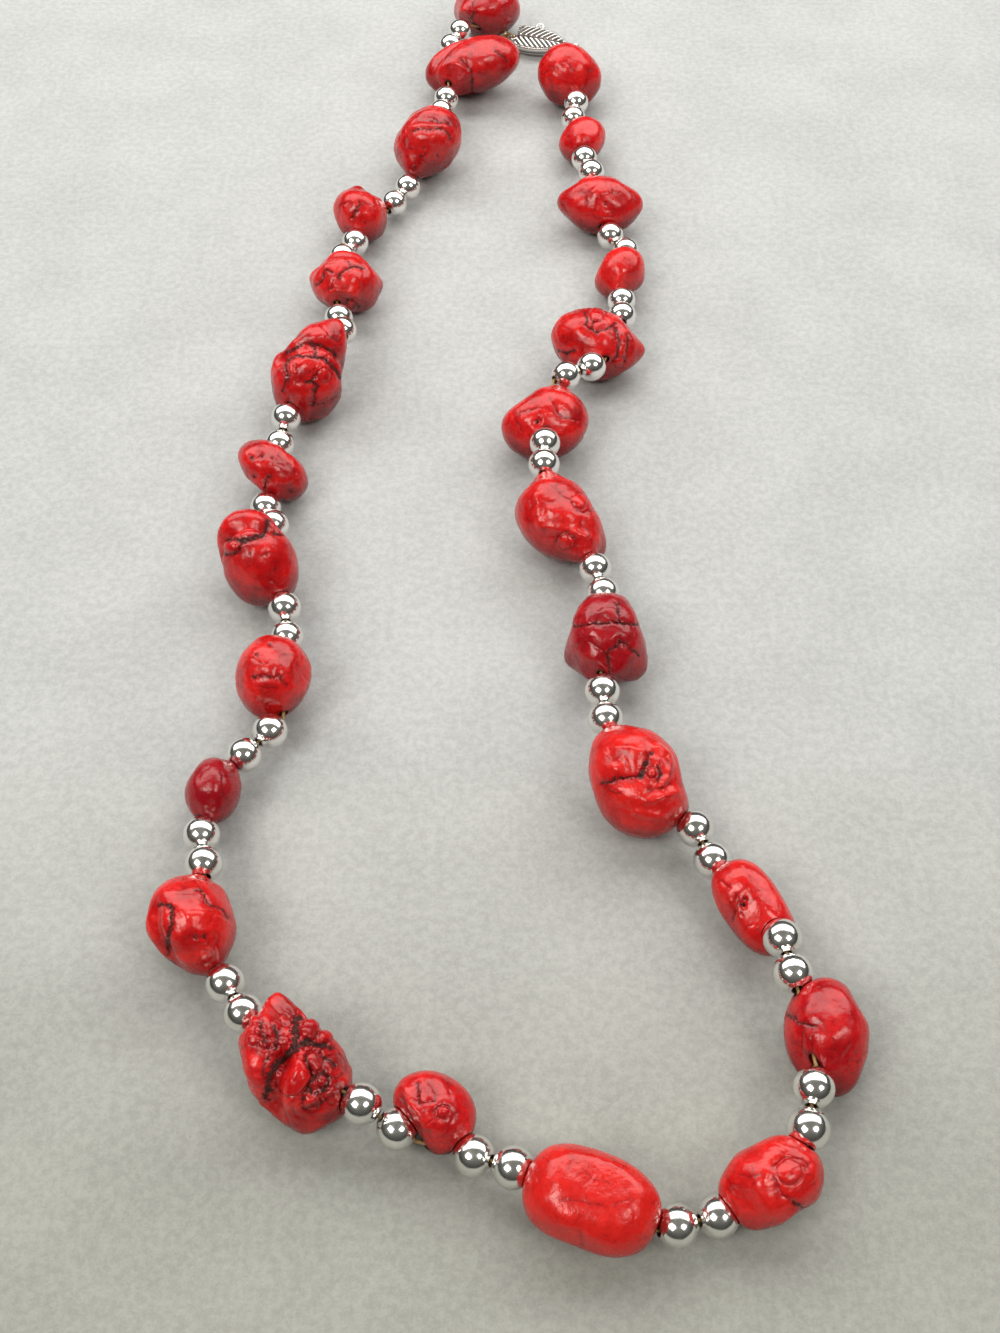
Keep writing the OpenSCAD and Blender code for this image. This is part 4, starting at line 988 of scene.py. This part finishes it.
    def base_radius(self, n):
        """The plain radius with its flats worn, each with a soft edge."""
        radius = self.plain_radius(n)
        for clock, tilt, wear_and_under_shade in self.flats():
            face, top = self.outward(charted(clock, tilt))
            facing = n @ face
            flat = (top @ face - wear_and_under_shade) / np.maximum(facing, self.FLAT_FACING)
            flat = np.where(facing > self.FLAT_FACING, flat, 1e3)
            gap = np.clip((flat - radius) / self.FLAT_EDGE, -30, 30)
            radius = radius - self.FLAT_EDGE * np.log1p(np.exp(-gap))
        return radius

    def seen(self, points):
        """Slightly bent places on the seen face, and how much each point belongs to that face."""
        shift = self.axes @ np.array([0, 0, self.lift - self.row["z"]])
        at = (points + shift)[:, :2]
        waves = [noise(points * self.BEND_WAVE + start * self.number) for start in (7, -5)]
        at = at + np.stack(waves, -1) * self.BEND
        return at, smooth_step(-self.FACE_FADE, self.FACE_FADE, points[:, 2])

    def wild_borders(self, n):
        """Distance to the borders of a few bent cells, whose seeds lie on a loose spiral."""
        dice = np.random.default_rng(SEED + 300 + self.number)
        count = self.WILD_CELLS
        level = 1 - (2 * np.arange(count) + 1) / count
        turn = np.arange(count) * self.WILD_TURN
        reach = np.sqrt(1 - level ** 2)
        seeds = np.stack([reach * np.cos(turn), reach * np.sin(turn), level], -1)
        seeds = unit(seeds + self.WILD_JITTER * dice.normal(size=(count, 3)))
        waves = [noise(n * 2.1 + k * 13 + self.number) for k in range(3)]
        bent = unit(n + self.WILD_BEND * np.stack(waves, -1))
        angles = np.sort(np.degrees(np.arccos(np.clip(bent @ seeds.T, -1, 1))), axis=1)
        return (angles[:, 1] - angles[:, 0]) * self.WILD_MM_PER_DEGREE

    def marks(self, points):
        """Depth of the fine relief at points in chart axes, and what the colours need there."""
        n = unit(points)
        number, rough = self.number, self.row["rough"]
        marks = Marks(points, *self.seen(points))
        for row in self.mine(CRACKS):
            marks.crack(*row)
        for row in self.mine(PITS):
            marks.pit_or_pebble(*row)
        share = (1 - marks.front) * (self.WILD_SIDES + self.WILD_ROUGH * rough)
        share = share + marks.front * self.WILD_FACE * smooth_step(0.4, 0.8, rough)
        share = share * smooth_step(-0.35, 0.45, noise(n * 1.9 + 40 + number))
        marks.wild_lines(self.wild_borders(n), share)
        big, middle, fine = (rise * noise(points / wave + start * number)
                             for rise, wave, start in self.GRAIN)
        grain = big + middle + rough * fine
        fold = np.exp(-np.abs(noise(points / self.FOLD_WAVE - 9 * number)) / self.FOLD_W)
        fold = fold * smooth_step(-0.1, 0.5, noise(points / 4.0 + 80 + number))
        relief = (self.LEAST_ROUGH + rough) * (self.FOLD_RISE * fold - grain)
        for row in self.mine(RIDGES):
            relief = relief - marks.ridge(*row)
        # low carries painted shade in the relief's hollows and a painted highlight on its rises
        return marks.depth + relief, {"line": marks.line, "dark": marks.dark, "inside": marks.inside,
                                      "low": np.clip(relief / self.FULL_LOW, -1, 1)}

    def hole(self):
        """The ends of the rod that cuts the hole."""
        start, end = hole_ends(self.index)
        past = unit(end - start) * self.HOLE_PAST
        return start - past, end + past

    def cutters(self):
        yield rod("cut_rod", *self.hole(), STONE_HOLE_D / 2)
        for bead in self.beads():
            yield ball("cut_ball", bead, BEAD_D / 2 + BEAD_GAP)
        if self.index == LAST:
            yield ball("cut_ball", RING_LEFT - LEFT_WAY * (RING_R + CRIMP_AWAY), CRIMP_D / 2 + CRIMP_GAP)

    def build(self, material):
        directions, quads = ball_grid(self.FACE_FINE if self.number in self.NEAR_EYE else self.FACE_COARSE)
        n = unit(directions + [0, 0, self.CROWDING])
        points = n * self.base_radius(n)[:, None]
        self.lift = -np.min((points @ self.axes)[:, 2])
        depth, _ = self.marks(points)
        world = (points - n * depth[:, None]) @ self.axes
        self.lift = -np.min(world[:, 2])
        middle = np.array([self.row["x"], self.row["y"], self.lift])
        obj = mesh_object(f"nugget_{self.number:02d}", world + middle, quads.tolist(), material)
        carve(obj, list(self.cutters()))
        mesh = obj.data
        there = (mesh_points(mesh) - middle) @ self.axes.T
        _, values = self.marks(there)
        # Painted shade in the stone's hole
        values["mouth"] = smooth_step(*self.MOUTH, run_distance(mesh_points(mesh), *self.hole()))
        # Painted shade on the underside, by the slope at each point
        values["painted_under_shade"] = self.UNDER_SHARE * smooth_step(*self.UNDER, unit(there @ self.axes)[:, 2])
        values["tint"] = np.full(len(mesh.vertices), self.row["tint"])
        for name, value in values.items():
            set_attribute(mesh, name, value)
        keep_edges(mesh, self.SHARP_ANGLE)
        dress(obj, f"stone_{self.number:02d}")


# Beads
BEAD_RIM = 0.14
BEAD_SIDES = 36
BEAD_DENTS = 0.006
# The hole's mouth darkens from the first to the second distance from the bead's axis
BEAD_MOUTH = (0.95, 0.66)
RIM_STEPS = 4
BALL_STEPS = 9


def bead_profile():
    """Closed outline of a bead, as places along the hole and out from it."""
    hole = BEAD_HOLE_D / 2
    rim_middle = hole + BEAD_RIM
    edge = sqrt((BEAD_D / 2 - BEAD_RIM) ** 2 - rim_middle ** 2)
    tilt = atan2(rim_middle, edge)
    half = [(0, hole), (edge * 0.6, hole)]
    for k in range(RIM_STEPS + 1):
        turn = (pi - tilt) * k / RIM_STEPS
        half.append((edge + BEAD_RIM * sin(turn), rim_middle - BEAD_RIM * cos(turn)))
    for k in range(1, BALL_STEPS + 1):
        turn = tilt + (pi / 2 - tilt) * k / BALL_STEPS
        half.append((BEAD_D / 2 * cos(turn), BEAD_D / 2 * sin(turn)))
    return np.array(half + [(-along, out) for along, out in half[-2:0:-1]])


def bead_string(name, first, last, material, node):
    along, out = bead_profile().T
    mouth = np.repeat(smooth_step(*BEAD_MOUTH, out), BEAD_SIDES)
    rings = ring_faces(len(out), BEAD_SIDES)
    dice = np.random.default_rng(SEED + 7)
    points, faces = [], []
    for i in range(first, last + 1):
        for side in (-1, 1):
            way = pair_way(i)
            ring = circle(around(BEAD_SIDES) + dice.uniform(0, 2 * pi), *side_axes(way))
            shape = (along[:, None, None] * way + out[:, None, None] * ring).reshape(-1, 3)
            dent = 1 + BEAD_DENTS * noise(shape * 0.35 + dice.uniform(-50, 50, 3))
            base = len(points) * len(shape)
            points.append(pair_bead(i, side) + shape * dent[:, None])
            faces += [tuple(base + corner for corner in face) for face in rings]
    obj = mesh_object(name, np.concatenate(points), faces, material)
    set_attribute(obj.data, "mouth", np.tile(mouth, len(points)))
    dress(obj, node)


# Thread
PLY_STEP = 0.42
PLY_SIDES = 10
PLY_PITCH = 1.7
# Share of the thread's radius between the two plies
PLY_WAIST = 0.74


def end_loop(ring, way):
    wire = ring - way * RING_R
    crimp = wire - way * CRIMP_AWAY
    half = sqrt(CRIMP_D ** 2 - CRIMP_HOLE_D ** 2) / 2
    up = np.array([0, 0, LEG_APART])
    path = [crimp - way * (half - LEG_END) - up, crimp + way * half - up]
    for turn in range(-120, 121, 30):
        path.append(wire + (way * cos(radians(turn)) + np.array([0, 0, sin(radians(turn))])) * LOOP_R)
    return path + [crimp + way * half + up, crimp - way * (half + LEG_END) + up]


def string_path():
    path = end_loop(RING_RIGHT, RIGHT_WAY)
    for i in range(len(STONES)):
        path += hole_ends(i)
    return path + end_loop(RING_LEFT, LEFT_WAY)[::-1]


def fine_path():
    """The string's path in short steps."""
    bends = string_path()
    path = []
    for a, b in zip(bends[:-1], bends[1:]):
        count = max(1, int(np.linalg.norm(b - a) / PLY_STEP))
        path += [a + (b - a) * k / count for k in range(count)]
    return np.array(path + [bends[-1]])


def twisted_thread(material):
    """Two plies wound round each other, within the thread's diameter."""
    path = fine_path()
    ways = unit(np.gradient(path, axis=0))
    normal = unit(np.cross(ways[0], [1, 2, 0]))
    turn = around(PLY_SIDES)
    points, run = [], 0.0
    for i, (at, way) in enumerate(zip(path, ways)):
        normal = unit(normal - way * (normal @ way))
        if i:
            run += np.linalg.norm(at - path[i - 1])
        wound = turn - run / PLY_PITCH * 2 * pi
        radius = THREAD_D / 2 * (PLY_WAIST + (1 - PLY_WAIST) * np.abs(np.cos(wound)))
        points.append(at + radius[:, None] * circle(turn, normal, np.cross(way, normal)))
    obj = mesh_object("wound_thread", np.concatenate(points), tube_faces(len(path), PLY_SIDES), material)
    dress(obj, "thread")


# Clasp box
class LeafBox:
    """The clasp's hollow box. Its own axes: x from the open end to the tip, z through it."""
    HALF = CLASP_LEN - WIDEST_X
    ARC_R = (HALF ** 2 + (CLASP_W / 2) ** 2) / CLASP_W
    DROP = CLASP_H * 0.3
    DOME_R = (HALF ** 2 + DROP ** 2) / (2 * DROP)
    SHOULDER = 0.55
    STATIONS = 110
    SIDES = 112
    # Grooves: half width and depth, and for the one along the rim its half width, its way in from
    # the rim and its share of the depth
    GROOVE = 0.17
    GROOVE_DEPTH = 0.3
    RIM_GROOVE = 0.13
    RIM_IN = 0.42
    RIM_SHARE = 0.7
    VEIN_START = 0.3
    LEAST_HALF_H = 0.05
    # How the rings of points crowd towards the tip, how far they stop before it, and how steep
    # the rim is
    CROWDING = 1.6
    TIP_CLEAR = 0.01
    RIM_STEEP = 12
    # How dark the box is inside
    INSIDE_DARK = 0.9
    SHARP_ANGLE = 50

    def __init__(self):
        across = unit(np.cross([0, 0, 1], CLASP_WAY))
        up = np.cross(CLASP_WAY, across)
        roll = radians(CLASP_ROLL)
        self.axes = np.array([CLASP_WAY, cos(roll) * across + sin(roll) * up,
                              cos(roll) * up - sin(roll) * across])

    def place(self, points):
        return points @ self.axes + CLASP_MOUTH

    def half_width(self, x, inset):
        return np.sqrt((self.ARC_R - inset) ** 2 - (x - WIDEST_X) ** 2) - (self.ARC_R - CLASP_W / 2)

    def grooves(self, x, y):
        """Share of the midrib's groove, the grooves between the slanted veins and the rim's groove."""
        side = np.abs(y)
        turn = radians(VEIN_TURN)
        phase = (x - self.VEIN_START - side / np.tan(turn)) / VEIN_STEP
        far = (phase - np.floor(phase) - 0.5) * VEIN_STEP * np.sin(turn)
        room = self.half_width(x, 0) - side
        slanted = np.exp(-(far / self.GROOVE) ** 2) * smooth_step(0.25, 0.6, room)
        rim = np.exp(-((room - self.RIM_IN) / self.RIM_GROOVE) ** 2)
        midrib = np.exp(-(y / self.GROOVE) ** 2)
        return np.maximum(np.maximum(midrib, self.RIM_SHARE * rim), slanted)

    def body(self, name, inset, start, relief):
        """A closed pointed oval with domed faces. With relief it has round shoulders and grooves."""
        turn = around(self.SIDES)
        face = np.clip(np.sin(turn) * self.RIM_STEEP, -1, 1)
        to_tip = sqrt((self.ARC_R - inset) ** 2 - (self.ARC_R - CLASP_W / 2) ** 2)
        end = WIDEST_X + to_tip - self.TIP_CLEAR
        share = np.linspace(0, 1, self.STATIONS)
        rings = []
        for x in start + (end - start) * (1 - (1 - share) ** self.CROWDING):
            width = self.half_width(x, inset)
            y = width * np.cos(turn)
            top = CLASP_H / 2 - inset - self.DOME_R + np.sqrt(self.DOME_R ** 2 - (x - WIDEST_X) ** 2 - y ** 2)
            if relief:
                room = smooth_step(0.2, 0.5, width - np.abs(y))
                top = top + VEIN_RISE * room - self.GROOVE_DEPTH * self.grooves(x, y) * room
                inner = np.maximum(0, self.SHOULDER - (width - np.abs(y)))
                top = top - (self.SHOULDER - np.sqrt(np.maximum(0, self.SHOULDER ** 2 - inner ** 2)))
            rings.append(np.stack([np.full(self.SIDES, x), y, np.maximum(self.LEAST_HALF_H, top) * face], -1))
        return mesh_object(name, self.place(np.concatenate(rings)), tube_faces(self.STATIONS, self.SIDES))

    def build(self, material):
        """The relief box with its post and both wire rings, which replaces the plain one."""
        obj = self.body("leaf_box", 0, 0, True)
        carve(obj, [self.body("cut_leaf", CLASP_WALL, -1, False)])
        there = (mesh_points(obj.data) - CLASP_MOUTH) @ self.axes.T
        outer = np.abs(there[:, 2]) > CLASP_H / 2 - CLASP_WALL - self.DROP
        deep = np.where(outer, self.grooves(there[:, 0], there[:, 1]), self.INSIDE_DARK)
        set_attribute(obj.data, "deep", deep)
        post = np.array([[POST_X, 0, -1], [POST_X, 0, 1]]) * [1, 1, (CLASP_H - 1.2 * CLASP_WALL) / 2]
        side_ring = self.place(np.array([THUMB_X, CLASP_W / 2 + THUMB_OUT, 0]))
        parts = [obj, rod("leaf_post", *self.place(post), POST_D / 2),
                 wire_ring("leaf_side_ring", side_ring, self.axes[0], self.axes[1]),
                 wire_ring("leaf_end_ring", RING_RIGHT, np.array([1.0, 0, 0]), np.array([0, 1.0, 0]))]
        for part in parts:
            wear(part.data, material)
        obj = joined(parts)
        keep_edges(obj.data, self.SHARP_ANGLE)
        dress(obj, "clasp_box")


# Camera, floor and light
# The photo's width and the lens's focal length in the photo's pixels
PHOTO_W = 1000
FOCAL_LENGTH = 1535
# The sensor's width in mm, and the degrees from straight down to the line of sight
SENSOR_W = 36
CAMERA_RISE = 38.5
# The floor's half width and height in metres
FLOOR_HALF = 1.6
FLOOR_Z = -0.00005


def area_light(name, place, size, size_y, power, color, aim=(0, -0.01, 0)):
    data = bpy.data.lights.new(name, "AREA")
    data.shape = "RECTANGLE"
    data.size, data.size_y = size, size_y
    data.energy = power
    data.color = color
    lamp = bpy.data.objects.new(name, data)
    lamp.location = place
    lamp.rotation_euler = (Vector(aim) - Vector(place)).to_track_quat("-Z", "Y").to_euler()
    bpy.context.scene.collection.objects.link(lamp)


def dim_room():
    """Soft surroundings: dark near the horizon and paler above."""
    n = Nodes(bpy.data.worlds.new("studio"))
    up = n.node("SeparateXYZ", {0: n.coords["Generated"]}).outputs["Z"]
    rise = n.node("MapRange", {"Value": up, "From Max": 0.9, "To Min": 0.035, "To Max": 0.20})
    return n.finish({"Color": (0.93, 0.93, 0.84, 1), "Strength": rise.outputs["Result"]}, "Background")


def stage():
    scene = bpy.context.scene
    data = bpy.data.cameras.new("camera")
    data.sensor_fit = "HORIZONTAL"
    data.sensor_width = SENSOR_W
    data.lens = SENSOR_W * FOCAL_LENGTH / PHOTO_W
    data.clip_start = 0.01
    camera = bpy.data.objects.new("camera", data)
    camera.location = (CHART_EYE + TO_ORIGIN) * MM
    camera.rotation_euler = (radians(CAMERA_RISE), 0, 0)
    scene.collection.objects.link(camera)
    scene.camera = camera

    mesh = bpy.data.meshes.new("floor")
    square = ((-1, -1), (1, -1), (1, 1), (-1, 1))
    mesh.from_pydata([(x * FLOOR_HALF, y * FLOOR_HALF, FLOOR_Z) for x, y in square],
                     [], [(0, 1, 2, 3)])
    floor = bpy.data.objects.new("floor", mesh)
    scene.collection.objects.link(floor)
    mesh.materials.append(floor_material())

    scene.world = dim_room()
    area_light("skylight", (0.05, 0.42, 0.56), 2.2, 0.62, 13.5, (1, 1, 0.97), aim=(0.05, 0.30, 0))
    area_light("lamp_left", (-0.50, -0.46, 0.78), 0.46, 0.40, 4.6, (1, 0.99, 0.92))
    area_light("lamp_right", (0.50, -0.46, 0.78), 0.34, 0.32, 2.6, (1, 0.99, 0.92))
    scene.view_settings.view_transform = "Standard"


# Build
stage()
red_stone = stone_material()
for index in range(len(STONES)):
    Stone(index).build(red_stone)

silver = bead_material()
bead_string("bright_beads_right", 0, 11, silver, "silver_beads_right")
bead_string("bright_beads_left", 12, 24, silver, "silver_beads_left")
twisted_thread(clouded_material("waxed_thread", 0.0, 1.8, ((0.50, 0.30, 0.11), (0.30, 0.16, 0.06)),
                                (0.4, 0.6), 9, 0.04))

crimp_metal = clouded_material("crimp_metal", 1.0, 1.4, ((0.62, 0.50, 0.36), (0.36, 0.25, 0.15)),
                               (0.28, 0.48), 2.5, 0.06)
clasp_silver = clasp_material()
LeafBox().build(clasp_silver)
for node, material in (("crimp_right", crimp_metal), ("crimp_left", crimp_metal),
                       ("clasp_hook", clasp_silver)):
    wear(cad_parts[node].data, material)
